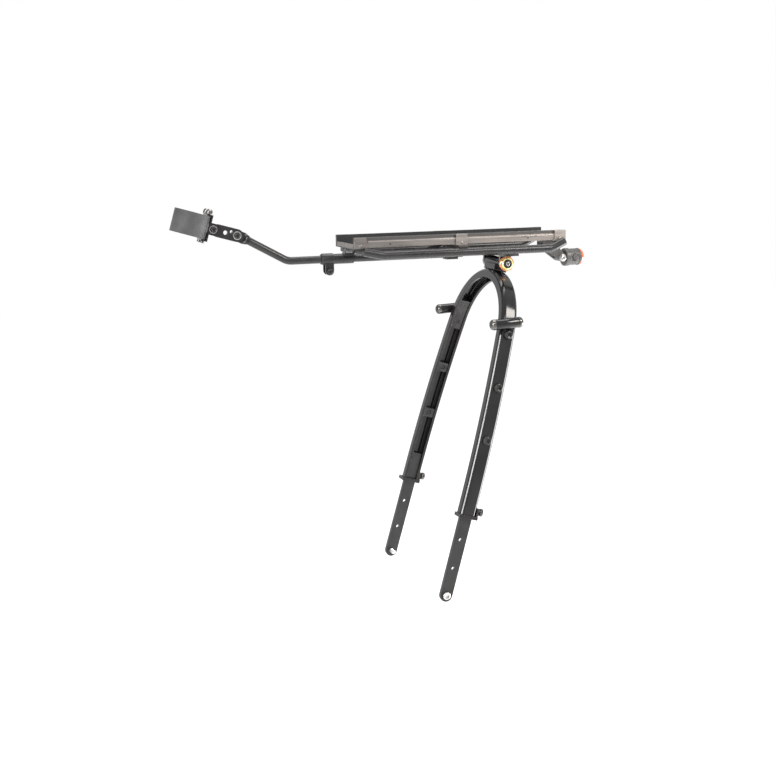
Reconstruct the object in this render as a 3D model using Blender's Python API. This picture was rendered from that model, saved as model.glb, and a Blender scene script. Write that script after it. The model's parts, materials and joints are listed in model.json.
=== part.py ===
"""Rear rack for a bicycle: a strap-on carrier with telescoping legs.

Origin: midpoint between the two lower eyelets, on their common axis.
+X points rearward along the bicycle, +Y to its right, +Z up. Units are metres.

Two guide frames place everything. LEG_FRAME lies in the leaning plane of the legs: its X is the
plane's normal and its Z climbs the plane. DECK_FRAME sits on the axis of the deck pivot, pitched
with the deck: its X runs rearward along the deck and its Z stands up from it.
"""

import bpy
import bmesh
from math import acos, atan2, cos, hypot, pi, radians, sin, tan
from mathutils import Matrix, Vector

MM = 0.001
GAP = 0.3 * MM                        # clearance left between pieces that touch

# Legs and arch: one channel section on a path of straight run, long bend and arch.
LEG_LEAN = radians(15.1)
EYELET_HALF_SPREAD = 97.5 * MM
LEG_TOE_IN = radians(1.0)
STRAIGHT_RUN = 115.0 * MM
ARCH_RADIUS = 76.0 * MM               # of the section's middle
ARCH_START = radians(10.7)            # where the long bend meets the arch
CHANNEL_WIDTH = 20.0 * MM
CHANNEL_DEPTH = 12.0 * MM
CHANNEL_WALL = 2.0 * MM
CHANNEL_BEVEL = 3.2 * MM
CHANNEL_LIP = 1.2 * MM
LEG_BOTTOM = 96.0 * MM                # height of the channel's open end up the leg plane

# Telescoping blades.
BLADE_WIDTH = 15.2 * MM
BLADE_THICKNESS = 5.0 * MM
BLADE_TOP = 133.0 * MM
BLADE_TAPER_START = 106.0 * MM         # above here the blade narrows, to follow the leg's bend
BLADE_TOP_WIDTH = 12.2 * MM
BLADE_INSET = 1.0 * MM                # blade's middle, inward of the channel's middle
BLADE_HOLE_PITCH = 35.0 * MM
BLADE_HOLE_RADIUS = 2.2 * MM
EYELET_BOLT_RADIUS = 2.6 * MM
EYELET_HEAD_RADIUS = 4.8 * MM
EYELET_HEAD_HEIGHT = 2.8 * MM
EYELET_SHANK = 14 * MM

# Bosses down each leg, counted from the top.
BOSS_TOP = 312.8 * MM
BOSS_PITCH = 62.0 * MM
BOSS_RADIUS = 5.4 * MM
BOSS_HEIGHT = 3.6 * MM
BOSS_SHANK_RADIUS = 2.5 * MM
PAD_LENGTH = 11.5 * MM
SPLICE_LENGTH = 40.0 * MM

# Collar and thumb screw at each leg's end.
COLLAR_HEIGHT = 4.0 * MM
COLLAR_WALL = 1.6 * MM
THUMB_HEIGHT = 104.0 * MM
THUMB_SHANK_RADIUS = 2.0 * MM
THUMB_HEAD_RADIUS = 4.8 * MM
THUMB_HEAD_LENGTH = 4.6 * MM

# Pegs that a pannier's lower hook rests on.
PEG_LENGTH = 41.0 * MM
PEG_RADIUS = 6.2 * MM
PEG_FORWARD = 7.5 * MM
PEG_PITCH = radians(3.5)
SPLICE_HEIGHT = 323.4 * MM             # seam between leg and arch, behind the peg

# Deck pivot.
PIVOT_ABOVE_ARCH = 9.35 * MM
BARREL_RADIUS = 7.4 * MM
BARREL_HALF_LENGTH = 22.0 * MM
PIN_RADIUS = 5.0 * MM
PIN_RUNNING_CLEARANCE = 0.06 * MM
EAR_THICKNESS = 3.0 * MM
EAR_RADIUS = 7.4 * MM
CAP_RADIUS = 5.2 * MM
RING_RADIUS = 7.6 * MM
RIM_RADIUS = 9.1 * MM
WASHER_RADIUS = 7.2 * MM
CAP_LENGTH = 6.0 * MM

# Deck: two rails on three cross plates, with a load tube outboard of each rail.
DECK_PITCH = radians(1.0)             # the deck rises towards the rear
DECK_FRONT = -194.0 * MM
DECK_REAR = 74.6 * MM
RAIL_TOP = 38.4 * MM
RAIL_HEIGHT = 12.0 * MM
RAIL_OUTER = 34.5 * MM
RAIL_THICKNESS = 3.5 * MM
RAIL_STEP_HEIGHT = 4.2 * MM
RAIL_STEP_DEPTH = 1.2 * MM
PLATE_LENGTH = 14.6 * MM
PLATE_THICKNESS = 1.8 * MM
PLATE_MIDDLE = -61.3 * MM
TUBE_OUTBOARD = 41.7 * MM
TUBE_RADIUS = 4.9 * MM
TUBE_HEIGHT = 17.4 * MM
TUBE_FRONT = (-185.0 * MM, 22.4 * MM)
TUBE_FRONT_RAMP = 24.0 * MM
TUBE_REAR = (70.5 * MM, 25.4 * MM)
TUBE_REAR_RAMP = 17.0 * MM

# Arm, its sleeve under the deck and the pinch clamp on the sleeve's split end.
ARM_RADIUS = 4.5 * MM
ARM_HEIGHT = 12.5 * MM
ARM_TAIL = -46.0 * MM
ARM_BEND_AT = -263.8 * MM
ARM_BEND_RADIUS = 20.0 * MM
ARM_RISE_END = (-308.5 * MM, 37.2 * MM)
ARM_CLEARANCE = 0.15 * MM
SLEEVE_RADIUS = 6.0 * MM
SLEEVE_FRONT = -209.2 * MM
SLEEVE_REAR = -184.6 * MM
CLAMP_LENGTH = 14.5 * MM
CLAMP_WALL = 2.3 * MM
CLAMP_EAR_DROP = 13.4 * MM
CLAMP_EAR_RADIUS = 5.1 * MM
CLAMP_EAR_OUTER = 5.6 * MM
CLAMP_EAR_THICKNESS = 2.4 * MM

# Link between the arm and the seatpost clamp.
LINK_BOLT = (-322.4 * MM, 44.0 * MM)
CLEVIS_BOLT = (-350.4 * MM, 52.0 * MM)
LINK_THICKNESS = 4.0 * MM
LINK_HALF_HEIGHT = 7.3 * MM
LINK_NOSE_RADIUS = 5.6 * MM
TONGUE_THICKNESS = 2.7 * MM
JOINT_BOLT_RADIUS = 2.5 * MM
JOINT_HEAD_RADIUS = 4.0 * MM

# Seatpost clamp: a rubber band on two pins that a folded bracket holds.
POST_TILT = radians(16.6)             # of the seatpost, from the deck's normal
STRAP_CENTRE_AHEAD = 26.4 * MM        # of the clevis bolt
STRAP_HEIGHT = 26.4 * MM
STRAP_INNER_RADIUS = 15.8 * MM
STRAP_THICKNESS = 4.4 * MM
STRAP_PIN_BACK = 16.8 * MM
STRAP_PIN_SIDE = 8.4 * MM
STRAP_PIN_RADIUS = 1.5 * MM
STRAP_LOOP_RADIUS = 2.9 * MM
STRAP_PIN_HEAD = 3.6 * MM
BRACKET_BACK = 20.2 * MM
BRACKET_THICKNESS = 1.5 * MM
BRACKET_HALF_WIDTH = 11.6 * MM
BRACKET_HALF_HEIGHT = 15.2 * MM
BRACKET_EAR_RADIUS = 6.8 * MM
BRACKET_EAR_REACH = 4.2 * MM           # ear arc's centre, behind the clevis bolt
BRACKET_EAR_THICKNESS = 3.4 * MM

# Tail light under the deck's rear end.
LIGHT_AXIS_X = 84.5 * MM
LIGHT_AXIS_Z = 2.2 * MM
LIGHT_RADIUS = 10.2 * MM
LIGHT_RING_RADIUS = 11.0 * MM
LIGHT_BODY_START = 89.7 * MM
LIGHT_BODY_END = 110.0 * MM
LIGHT_CHEEK_RADIUS = 4.6 * MM
LIGHT_LENS_BULGE = 6.5 * MM
LIGHT_FORK_HALF_GAP = 7.0 * MM
BUTTON_RADIUS = 3.4 * MM
BUTTON_X = 101.5 * MM


# ---------------------------------------------------------------- materials

def make_material(name, colour, metallic, roughness):
    """A plain Principled material."""
    material = bpy.data.materials.new(name)
    material.use_nodes = True
    shader = material.node_tree.nodes["Principled BSDF"]
    shader.inputs["Base Color"].default_value = (*colour, 1.0)
    shader.inputs["Metallic"].default_value = metallic
    shader.inputs["Roughness"].default_value = roughness
    material.diffuse_color = (*colour, 1.0)
    return material


FINISHES = {
    "black_alloy": ((0.012, 0.012, 0.013), 0.6, 0.30),
    "satin_alloy": ((0.36, 0.33, 0.31), 0.9, 0.42),
    "steel": ((0.62, 0.62, 0.60), 1.0, 0.25),
    "black_steel": ((0.02, 0.02, 0.02), 0.8, 0.35),
    "rubber": ((0.030, 0.030, 0.031), 0.0, 0.75),
    "yellow_alloy": ((0.85, 0.72, 0.10), 0.6, 0.30),
    "orange_alloy": ((0.80, 0.25, 0.06), 0.6, 0.30),
    "dark_plastic": ((0.05, 0.05, 0.052), 0.0, 0.50),
    "red_lens": ((0.60, 0.06, 0.02), 0.0, 0.12),
}


# ---------------------------------------------------------------- mesh helpers

def finish_object(name, bm, finish, frame=None, matrix=None, smooth=True):
    """Turn a bmesh into a named object with its own material, placed in a guide frame."""
    bmesh.ops.recalc_face_normals(bm, faces=bm.faces)
    mesh = bpy.data.meshes.new(name)
    bm.to_mesh(mesh)
    bm.free()
    if smooth:
        mesh.shade_smooth()
        mesh.set_sharp_from_angle(angle=radians(30))
    obj = bpy.data.objects.new(name, mesh)
    bpy.context.collection.objects.link(obj)
    mesh.materials.append(make_material(name, *FINISHES[finish]))
    if frame:
        obj.parent = frame
    if matrix:
        obj.matrix_local = matrix
    return obj


def add_loft(bm, rings):
    """Skin a list of closed rings of equal length and cap both ends."""
    loops = [[bm.verts.new(point) for point in ring] for ring in rings]
    count = len(loops[0])
    for low, high in zip(loops, loops[1:]):
        for i in range(count):
            j = (i + 1) % count
            bm.faces.new((low[i], low[j], high[j], high[i]))
    bm.faces.new(reversed(loops[0]))
    bm.faces.new(loops[-1])


def axis_matrix(axis):
    """Rotation that takes +Z onto the named axis."""
    return {
        "X": Matrix.Rotation(pi / 2, 4, "Y"),
        "Y": Matrix.Rotation(-pi / 2, 4, "X"),
        "Z": Matrix.Identity(4),
    }[axis]


def add_turned(bm, profile, centre, axis="Z", sides=24):
    """Turn a profile of (radius, height) points about an axis through centre."""
    place = Matrix.Translation(Vector(centre)) @ axis_matrix(axis)
    rings = []
    for radius, height in profile:
        ring = [
            place @ Vector((radius * cos(2 * pi * k / sides), radius * sin(2 * pi * k / sides), height))
            for k in range(sides)
        ]
        rings.append(ring)
    add_loft(bm, rings)


def add_box(bm, low, high):
    """A box between two corners."""
    size = Vector(high) - Vector(low)
    middle = (Vector(high) + Vector(low)) / 2
    place = Matrix.Translation(middle) @ Matrix.Diagonal((*size, 1.0))
    bmesh.ops.create_cube(bm, size=1.0, matrix=place)


def add_slab(bm, outline, y_low, y_high):
    """Extrude an outline of (x, z) points between two y values."""
    add_loft(bm, [[(x, y, z) for x, z in outline] for y in (y_low, y_high)])


def arc(centre, radius, start, end, steps):
    """Points of an arc, from start to end in degrees."""
    angles = [radians(start + (end - start) * k / steps) for k in range(steps + 1)]
    return [(centre[0] + radius * cos(a), centre[1] + radius * sin(a)) for a in angles]


def tool(name, bm, frame=None, matrix=None):
    """A hidden helper solid for a Boolean."""
    obj = finish_object(name, bm, "steel", frame, matrix, smooth=False)
    obj.hide_render = True
    obj.display_type = "WIRE"
    return obj


def combine(target, helper, operation):
    """Add a Boolean modifier that joins or cuts with a helper solid."""
    modifier = target.modifiers.new(helper.name, "BOOLEAN")
    modifier.operation = operation
    modifier.solver = "EXACT"
    modifier.object = helper


def cut_round(target, radius, low, high, centre, axis, frame=None, matrix=None, sides=14):
    """Drill a round hole through the target."""
    bm = bmesh.new()
    add_turned(bm, [(radius, low), (radius, high)], centre, axis, sides)
    combine(target, tool(target.name + "_drill", bm, frame, matrix), "DIFFERENCE")


def guide(name, location, rotation, parent=None):
    """An empty that carries a group of pieces."""
    empty = bpy.data.objects.new(name, None)
    empty.location = location
    empty.rotation_euler = rotation
    empty.parent = parent
    bpy.context.collection.objects.link(empty)
    return empty


def socket_screw(name, finish, radius, shank, head, length, frame, matrix, dome=0.35, sides=14):
    """A dome-headed socket screw whose head faces +Z and whose shank runs down from z = 0."""
    socket = radius * 0.42
    depth = head * 0.6
    profile = [(socket, head - depth), (socket, head)]
    profile += [(radius * (1 - dome * 0.5), head * 0.92), (radius, head * 0.45), (radius, 0)]
    profile += [(shank, 0), (shank, -length)]
    bm = bmesh.new()
    add_turned(bm, profile, (0, 0, 0), "Z", sides)
    return finish_object(name, bm, finish, frame, matrix)


# ---------------------------------------------------------------- leg geometry

LONG_BEND_RADIUS = (
    (EYELET_HALF_SPREAD - STRAIGHT_RUN * tan(LEG_TOE_IN) - ARCH_RADIUS * cos(ARCH_START))
    / (cos(LEG_TOE_IN) - cos(ARCH_START))
)
LEG_TOP = STRAIGHT_RUN + LONG_BEND_RADIUS * (sin(ARCH_START) - sin(LEG_TOE_IN))
ARCH_CENTRE = LEG_TOP - ARCH_RADIUS * sin(ARCH_START)
ARCH_CROWN = ARCH_CENTRE + ARCH_RADIUS + CHANNEL_DEPTH / 2
PIVOT_HEIGHT = ARCH_CROWN + PIVOT_ABOVE_ARCH


def leg_point(height):
    """Offset from the centre plane and inward tilt of the right leg at a height up the plane."""
    straight = EYELET_HALF_SPREAD - min(height, STRAIGHT_RUN) * tan(LEG_TOE_IN)
    if height <= STRAIGHT_RUN:
        return straight, LEG_TOE_IN
    sine = sin(LEG_TOE_IN) + (height - STRAIGHT_RUN) / LONG_BEND_RADIUS
    cosine = (1 - sine * sine) ** 0.5
    return straight - LONG_BEND_RADIUS * (cos(LEG_TOE_IN) - cosine), atan2(sine, cosine)


def leg_matrix(side, height):
    """Frame on the channel's middle: X across it, Y outward through it, Z along it.

    Past the leg's top the height goes on as a distance along the arch.
    """
    if height <= LEG_TOP:
        offset, tilt = leg_point(height)
        place = Matrix.Translation(Vector((0, side * offset, height)))
    else:
        tilt = ARCH_START + (height - LEG_TOP) / ARCH_RADIUS
        level = ARCH_CENTRE + ARCH_RADIUS * sin(tilt)
        place = Matrix.Translation(Vector((0, side * ARCH_RADIUS * cos(tilt), level)))
    turn = Matrix.Rotation(side * tilt, 4, "X")
    mirror = Matrix.Diagonal((1, side, 1, 1))
    return place @ turn @ mirror


def outward_matrix(side, height, lift):
    """Frame on a leg's outer face, with +Z pointing outward."""
    offset, tilt = leg_point(height)
    place = Matrix.Translation(Vector((0, side * offset, height)))
    turn = Matrix.Rotation(side * tilt, 4, "X")
    face = Matrix.Translation(Vector((0, side * lift, 0))) @ Matrix.Rotation(-side * pi / 2, 4, "X")
    return place @ turn @ face


def channel_section():
    """Channel outline as (across, outward) points: bevelled face, two walls, small lips."""
    half = CHANNEL_WIDTH / 2
    out = CHANNEL_DEPTH / 2
    wall = CHANNEL_WALL
    bevel = CHANNEL_BEVEL
    lip = CHANNEL_LIP
    right = [
        (half - bevel, out), (half, out - bevel), (half, -out), (half - wall - lip, -out),
        (half - wall - lip, -out + lip), (half - wall, -out + lip), (half - wall, out - bevel - 0.6 * wall),
        (half - bevel - 0.6 * wall, out - wall),
    ]
    left = [(-across, outward) for across, outward in reversed(right)]
    return right + left


def swept_channel(bm, stations):
    """Sweep the channel section through (matrix) stations."""
    section = channel_section()
    rings = [[place @ Vector((a, o, 0)) for a, o in section] for place in stations]
    add_loft(bm, rings)


def make_leg(side, name, frame):
    """One leg: the channel from its open lower end up to the splice behind the peg."""
    steps = 10
    top = SPLICE_HEIGHT - GAP / 2
    heights = [LEG_BOTTOM] + [STRAIGHT_RUN + (top - STRAIGHT_RUN) * k / steps for k in range(steps + 1)]
    bm = bmesh.new()
    swept_channel(bm, [leg_matrix(side, height) for height in heights])
    leg = finish_object(name, bm, "black_alloy", frame)
    for index in range(3):
        place = outward_matrix(side, BOSS_TOP - index * BOSS_PITCH, 0)
        cut_round(leg, BOSS_SHANK_RADIUS + GAP, 0, 20 * MM, (0, 0, 0), "Z", frame, place, 16)
    drill = Matrix.Translation(leg_matrix(side, THUMB_HEIGHT).translation)
    cut_round(leg, THUMB_SHANK_RADIUS + GAP, 5 * MM, 20 * MM, (0, 0, 0), "X", frame, drill, 16)
    return leg


def make_arch(frame):
    """The arch: the same channel bent over the wheel."""
    steps = 20
    start = ARCH_START + (SPLICE_HEIGHT + GAP / 2 - LEG_TOP) / ARCH_RADIUS
    bm = bmesh.new()
    stations = []
    for k in range(steps + 1):
        turn = start + (pi - 2 * start) * k / steps
        middle = Vector((0, ARCH_RADIUS * cos(turn), ARCH_CENTRE + ARCH_RADIUS * sin(turn)))
        stations.append(Matrix.Translation(middle) @ Matrix.Rotation(turn, 4, "X"))
    swept_channel(bm, stations)
    arch = finish_object("arch", bm, "black_alloy", frame)
    cut_round(arch, BOSS_SHANK_RADIUS + GAP, -20 * MM, 20 * MM, (0, 0, ARCH_CROWN), "Z", frame)
    return arch


def make_blade(side, name, frame):
    """A telescoping blade: a flat bar with a round eyelet end and two spare holes."""
    low = leg_matrix(side, 0)
    half = BLADE_WIDTH / 2
    top = BLADE_TOP / cos(LEG_TOE_IN)
    taper = BLADE_TAPER_START / cos(LEG_TOE_IN)
    tip = BLADE_TOP_WIDTH / 2
    outline = [(half, taper), (tip, top), (-tip, top), (-half, taper)]
    outline += arc((0, 0), half, 180, 360, 14)
    near = -BLADE_INSET - BLADE_THICKNESS / 2
    bm = bmesh.new()
    add_slab(bm, outline, near, near + BLADE_THICKNESS)
    blade = finish_object(name, bm, "black_alloy", frame, low)
    holes = [(0.0, EYELET_BOLT_RADIUS + GAP)]
    holes += [(33 * MM + k * BLADE_HOLE_PITCH, BLADE_HOLE_RADIUS) for k in range(2)]
    for height, radius in holes:
        cut_round(blade, radius, -10 * MM, 10 * MM, (0, 0, height), "Y", frame, low)
    return blade


def make_eyelet_bolt(side, name, frame):
    """The button-head bolt through a blade's eyelet."""
    lift = -BLADE_INSET + BLADE_THICKNESS / 2 + GAP
    place = outward_matrix(side, 0, lift)
    return socket_screw(name, "steel", EYELET_HEAD_RADIUS, EYELET_BOLT_RADIUS, EYELET_HEAD_HEIGHT,
                        EYELET_SHANK, frame, place)


def make_boss_bolt(side, index, name, frame):
    """A domed bolt on a leg's outer face, reaching the pad inside the channel."""
    place = outward_matrix(side, BOSS_TOP - index * BOSS_PITCH, CHANNEL_DEPTH / 2 + GAP)
    return socket_screw(name, "black_steel", BOSS_RADIUS, BOSS_SHANK_RADIUS, BOSS_HEIGHT, 10 * MM,
                        frame, place, dome=0.6)


def make_pad(side, low, high, name, frame):
    """A block inside the channel with threaded holes for the bolts that enter it."""
    half = CHANNEL_WIDTH / 2 - CHANNEL_WALL - GAP
    floor = CHANNEL_DEPTH / 2 - CHANNEL_WALL - GAP
    shoulder = CHANNEL_BEVEL - 0.4 * CHANNEL_WALL
    mouth = -CHANNEL_DEPTH / 2 + CHANNEL_LIP + GAP
    section = [(half, mouth), (half, floor - shoulder), (half - shoulder, floor)]
    section += [(-across, outward) for across, outward in reversed(section)]
    steps = max(1, round((high - low) / (8 * MM)))
    rings = []
    for k in range(steps + 1):
        place = leg_matrix(side, low + (high - low) * k / steps)
        rings.append([place @ Vector((a, o, 0)) for a, o in section])
    bm = bmesh.new()
    add_loft(bm, rings)
    pad = finish_object(name, bm, "black_steel", frame, smooth=False)
    for index in range(3):
        height = BOSS_TOP - index * BOSS_PITCH
        if low < height < high:
            place = outward_matrix(side, height, 0)
            cut_round(pad, BOSS_SHANK_RADIUS + 0.1 * MM, -20 * MM, 20 * MM, (0, 0, 0), "Z", frame, place, 16)
    return pad


def make_collar(side, name, frame):
    """Band round the leg's end with a block on its rear side that the thumb screw enters."""
    half = CHANNEL_WIDTH / 2 + GAP
    deep = CHANNEL_DEPTH / 2 + GAP
    wall = COLLAR_WALL
    place = leg_matrix(side, LEG_BOTTOM)
    block_top = THUMB_HEIGHT - LEG_BOTTOM + 4.5 * MM
    bm = bmesh.new()
    low = (-half - wall, -deep - wall, -1.0 * MM)
    add_box(bm, low, (half + wall, deep + wall, COLLAR_HEIGHT - 1.0 * MM))
    collar = finish_object(name, bm, "black_alloy", frame, place, smooth=False)
    lug = bmesh.new()
    add_box(lug, (half, -4.5 * MM, 0), (half + 2.6 * MM, 4.5 * MM, block_top))
    combine(collar, tool(name + "_lug", lug, frame, place), "UNION")
    hollow = bmesh.new()
    add_box(hollow, (-half, -deep, -5 * MM), (half, deep, block_top + 5 * MM))
    combine(collar, tool(name + "_hollow", hollow, frame, place), "DIFFERENCE")
    drill = Matrix.Translation(leg_matrix(side, THUMB_HEIGHT).translation)
    cut_round(collar, THUMB_SHANK_RADIUS + 0.1 * MM, 5 * MM, 20 * MM, (0, 0, 0), "X", frame, drill)
    return collar


def make_thumb_screw(side, name, frame):
    """Knurled screw that clamps the blade in the channel."""
    head = CHANNEL_WIDTH / 2 + 4.6 * MM
    tip = BLADE_WIDTH / 2 + GAP
    flutes = 12
    bm = bmesh.new()
    profile = [(THUMB_SHANK_RADIUS, tip), (THUMB_SHANK_RADIUS, head)]
    profile += [(THUMB_HEAD_RADIUS * 0.86, head), (THUMB_HEAD_RADIUS, head + 0.8 * MM)]
    profile += [(THUMB_HEAD_RADIUS, head + THUMB_HEAD_LENGTH - 0.8 * MM)]
    profile += [(THUMB_HEAD_RADIUS * 0.8, head + THUMB_HEAD_LENGTH)]
    add_turned(bm, profile, (0, 0, 0), "X", 2 * flutes)
    for vert in bm.verts:
        radial = hypot(vert.co.y, vert.co.z)
        sector = round(atan2(vert.co.z, vert.co.y) / pi * flutes)
        if radial > 0.7 * THUMB_HEAD_RADIUS and sector % 2:
            vert.co.y *= 0.93
            vert.co.z *= 0.93
    place = Matrix.Translation(leg_matrix(side, THUMB_HEIGHT).translation)
    return finish_object(name, bm, "black_steel", frame, place)


def make_peg(side, name, frame):
    """Round peg across the leg's outer face, on a stub that seats on the channel."""
    half = PEG_LENGTH / 2
    radius = PEG_RADIUS
    profile = [(radius * 0.45, -half), (radius * 0.85, -half + 1.4 * MM), (radius, -half + 3.6 * MM)]
    profile += [(radius, half - 3.6 * MM), (radius * 0.85, half - 1.4 * MM), (radius * 0.45, half)]
    lift = CHANNEL_DEPTH / 2 + GAP
    seat = leg_matrix(side, SPLICE_HEIGHT)
    centre = seat @ Vector((-PEG_FORWARD, lift + radius, 0))
    level = Matrix.Rotation(-LEG_LEAN - PEG_PITCH, 4, "Y")
    bm = bmesh.new()
    add_turned(bm, profile, (0, 0, 0), "X", 20)
    peg = finish_object(name, bm, "black_alloy", frame, Matrix.Translation(centre) @ level)
    stub = bmesh.new()
    add_turned(stub, [(5.2 * MM, lift), (5.2 * MM, lift + radius)], (0, 0, 0), "Y", 16)
    combine(peg, tool(name + "_stub", stub, frame, seat), "UNION")
    return peg


def make_arch_saddle(frame):
    """Block on the arch's crown that carries the pivot's barrel."""
    bm = bmesh.new()
    profile = [(BARREL_RADIUS, -BARREL_HALF_LENGTH), (BARREL_RADIUS, BARREL_HALF_LENGTH)]
    add_turned(bm, profile, (0, 0, PIVOT_HEIGHT), "Y", 24)
    saddle = finish_object("arch_saddle", bm, "black_alloy", frame)
    half = 8.4 * MM
    base = bmesh.new()
    add_box(base, (-half, -15 * MM, ARCH_CROWN - 5 * MM), (half, 15 * MM, PIVOT_HEIGHT - 3 * MM))
    combine(saddle, tool("arch_saddle_base", base, frame), "UNION")
    under = bmesh.new()
    hollow = ARCH_RADIUS + CHANNEL_DEPTH / 2 + GAP
    add_turned(under, [(hollow, -20 * MM), (hollow, 20 * MM)], (0, 0, ARCH_CENTRE), "X", 96)
    combine(saddle, tool("arch_saddle_under", under, frame), "DIFFERENCE")
    bore = PIN_RADIUS + PIN_RUNNING_CLEARANCE
    cut_round(saddle, bore, -30 * MM, 30 * MM, (0, 0, PIVOT_HEIGHT), "Y", frame, None, 24)
    cut_round(saddle, BOSS_SHANK_RADIUS + 0.1 * MM, -20 * MM, 0, (0, 0, PIVOT_HEIGHT - PIN_RADIUS - 1 * MM), "Z",
              frame)
    return saddle


def make_saddle_bolt(frame):
    """Screw inside the arch that holds the saddle, with a square clamping head."""
    floor = ARCH_CROWN - CHANNEL_WALL - GAP
    tip = PIVOT_HEIGHT - PIN_RADIUS - 1.6 * MM
    bm = bmesh.new()
    add_box(bm, (-5.6 * MM, -8 * MM, floor - 4.2 * MM), (5.6 * MM, 8 * MM, floor - 0.6 * MM))
    bolt = finish_object("saddle_bolt", bm, "black_steel", frame, smooth=False)
    shank = bmesh.new()
    add_turned(shank, [(BOSS_SHANK_RADIUS, floor - 2 * MM), (BOSS_SHANK_RADIUS, tip)], (0, 0, 0), "Z", 20)
    combine(bolt, tool("saddle_bolt_shank", shank, frame), "UNION")
    return bolt


# ---------------------------------------------------------------- pivot

def make_pivot_bracket(frame):
    """Plate under both load tubes with two ears that hold the pivot pin."""
    ear_inner = BARREL_HALF_LENGTH + 0.5 * MM
    ear_outer = ear_inner + EAR_THICKNESS
    top = TUBE_HEIGHT - TUBE_RADIUS - GAP
    under = top - 2.4 * MM
    bm = bmesh.new()
    add_box(bm, (-10 * MM, -TUBE_OUTBOARD, under), (10 * MM, TUBE_OUTBOARD, top))
    bracket = finish_object("pivot_bracket", bm, "black_alloy", frame, smooth=False)
    outline = [(EAR_RADIUS, under + 1 * MM), (-EAR_RADIUS, under + 1 * MM)]
    outline += arc((0, 0), EAR_RADIUS, 180, 360, 16)
    for side, label in ((-1, "left"), (1, "right")):
        ear = bmesh.new()
        add_slab(ear, outline, *sorted((side * ear_inner, side * ear_outer)))
        combine(bracket, tool("pivot_ear_" + label, ear, frame), "UNION")
    cut_round(bracket, PIN_RADIUS + 0.05 * MM, -60 * MM, 60 * MM, (0, 0, 0), "Y", frame, None, 24)
    return bracket


def make_pivot_pin(frame):
    """The pin through the barrel and both ears."""
    reach = BARREL_HALF_LENGTH + 0.5 * MM + EAR_THICKNESS + 1.0 * MM
    bm = bmesh.new()
    add_turned(bm, [(PIN_RADIUS, -reach), (PIN_RADIUS, reach)], (0, 0, 0), "Y", 24)
    return finish_object("pivot_pin", bm, "steel", frame)


def make_pivot_cap(side, name, frame):
    """Socket-headed cap screwed to one end of the pin."""
    start = BARREL_HALF_LENGTH + EAR_THICKNESS + 1.9 * MM
    bm = bmesh.new()
    profile = [(2.0 * MM, start + 2.5 * MM), (2.0 * MM, start + CAP_LENGTH)]
    profile += [(CAP_RADIUS * 0.85, start + CAP_LENGTH), (CAP_RADIUS, start + CAP_LENGTH - 1.0 * MM)]
    profile += [(CAP_RADIUS, start)]
    add_turned(bm, profile, (0, 0, 0), "Z", 20)
    place = Matrix.Rotation(-side * pi / 2, 4, "X")
    return finish_object(name, bm, "black_steel", frame, place)


def make_pivot_ring(name, finish, inner, outer, depth, bevel, frame, side=-1):
    """A ring round the cap, seated on the ear."""
    start = BARREL_HALF_LENGTH + EAR_THICKNESS + 1.9 * MM
    bm = bmesh.new()
    profile = [(inner, start), (outer, start), (outer, start + depth - bevel), (outer - bevel, start + depth)]
    profile += [(inner, start + depth)]
    add_turned_ring(bm, profile, 24)
    return finish_object(name, bm, finish, frame, Matrix.Rotation(-side * pi / 2, 4, "X"))


def add_turned_ring(bm, profile, sides):
    """Turn a closed profile of (radius, height) points about Z into a ring."""
    loops = []
    for k in range(sides):
        turn = 2 * pi * k / sides
        loops.append([bm.verts.new((r * cos(turn), r * sin(turn), h)) for r, h in profile])
    count = len(profile)
    for k in range(sides):
        here = loops[k]
        there = loops[(k + 1) % sides]
        for i in range(count):
            j = (i + 1) % count
            bm.faces.new((here[i], here[j], there[j], there[i]))


# ---------------------------------------------------------------- deck

def make_rail(side, name, frame):
    """A deck rail: a bar whose upper outer edge is set back."""
    outer = RAIL_OUTER
    bottom = RAIL_TOP - RAIL_HEIGHT
    step = RAIL_TOP - RAIL_STEP_HEIGHT
    section = [(outer - RAIL_THICKNESS, bottom), (outer, bottom), (outer, step - RAIL_STEP_DEPTH)]
    section += [(outer - RAIL_STEP_DEPTH, step), (outer - RAIL_STEP_DEPTH, RAIL_TOP)]
    section += [(outer - RAIL_THICKNESS, RAIL_TOP)]
    bm = bmesh.new()
    add_loft(bm, [[(x, side * y, z) for y, z in section] for x in (DECK_FRONT, DECK_REAR)])
    return finish_object(name, bm, "satin_alloy", frame, smooth=False)


def make_cross_plate(name, start, frame):
    """Folded plate under the rails: its ends turn up outside them and wings reach the load tubes."""
    tab_inner = RAIL_OUTER + GAP
    tab_outer = tab_inner + PLATE_THICKNESS
    floor_top = RAIL_TOP - RAIL_HEIGHT - GAP
    floor = floor_top - PLATE_THICKNESS
    section = [
        (-tab_outer, floor), (tab_outer, floor), (tab_outer, RAIL_TOP), (tab_inner, RAIL_TOP),
        (tab_inner, floor_top), (-tab_inner, floor_top), (-tab_inner, RAIL_TOP), (-tab_outer, RAIL_TOP),
    ]
    bm = bmesh.new()
    add_loft(bm, [[(x, y, z) for y, z in section] for x in (start, start + PLATE_LENGTH)])
    return finish_object(name, bm, "satin_alloy", frame, smooth=False)


def make_front_plate(frame):
    """The front cross plate has a folded lip between the rails."""
    plate = make_cross_plate("front_plate", DECK_FRONT, frame)
    inner = RAIL_OUTER - RAIL_THICKNESS - GAP
    floor = RAIL_TOP - RAIL_HEIGHT - GAP - PLATE_THICKNESS
    lip = bmesh.new()
    low = (DECK_FRONT, -inner, floor + 0.5 * MM)
    add_box(lip, low, (DECK_FRONT + PLATE_THICKNESS, inner, floor + 6.4 * MM))
    combine(plate, tool("front_plate_lip", lip, frame), "UNION")
    return plate


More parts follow.
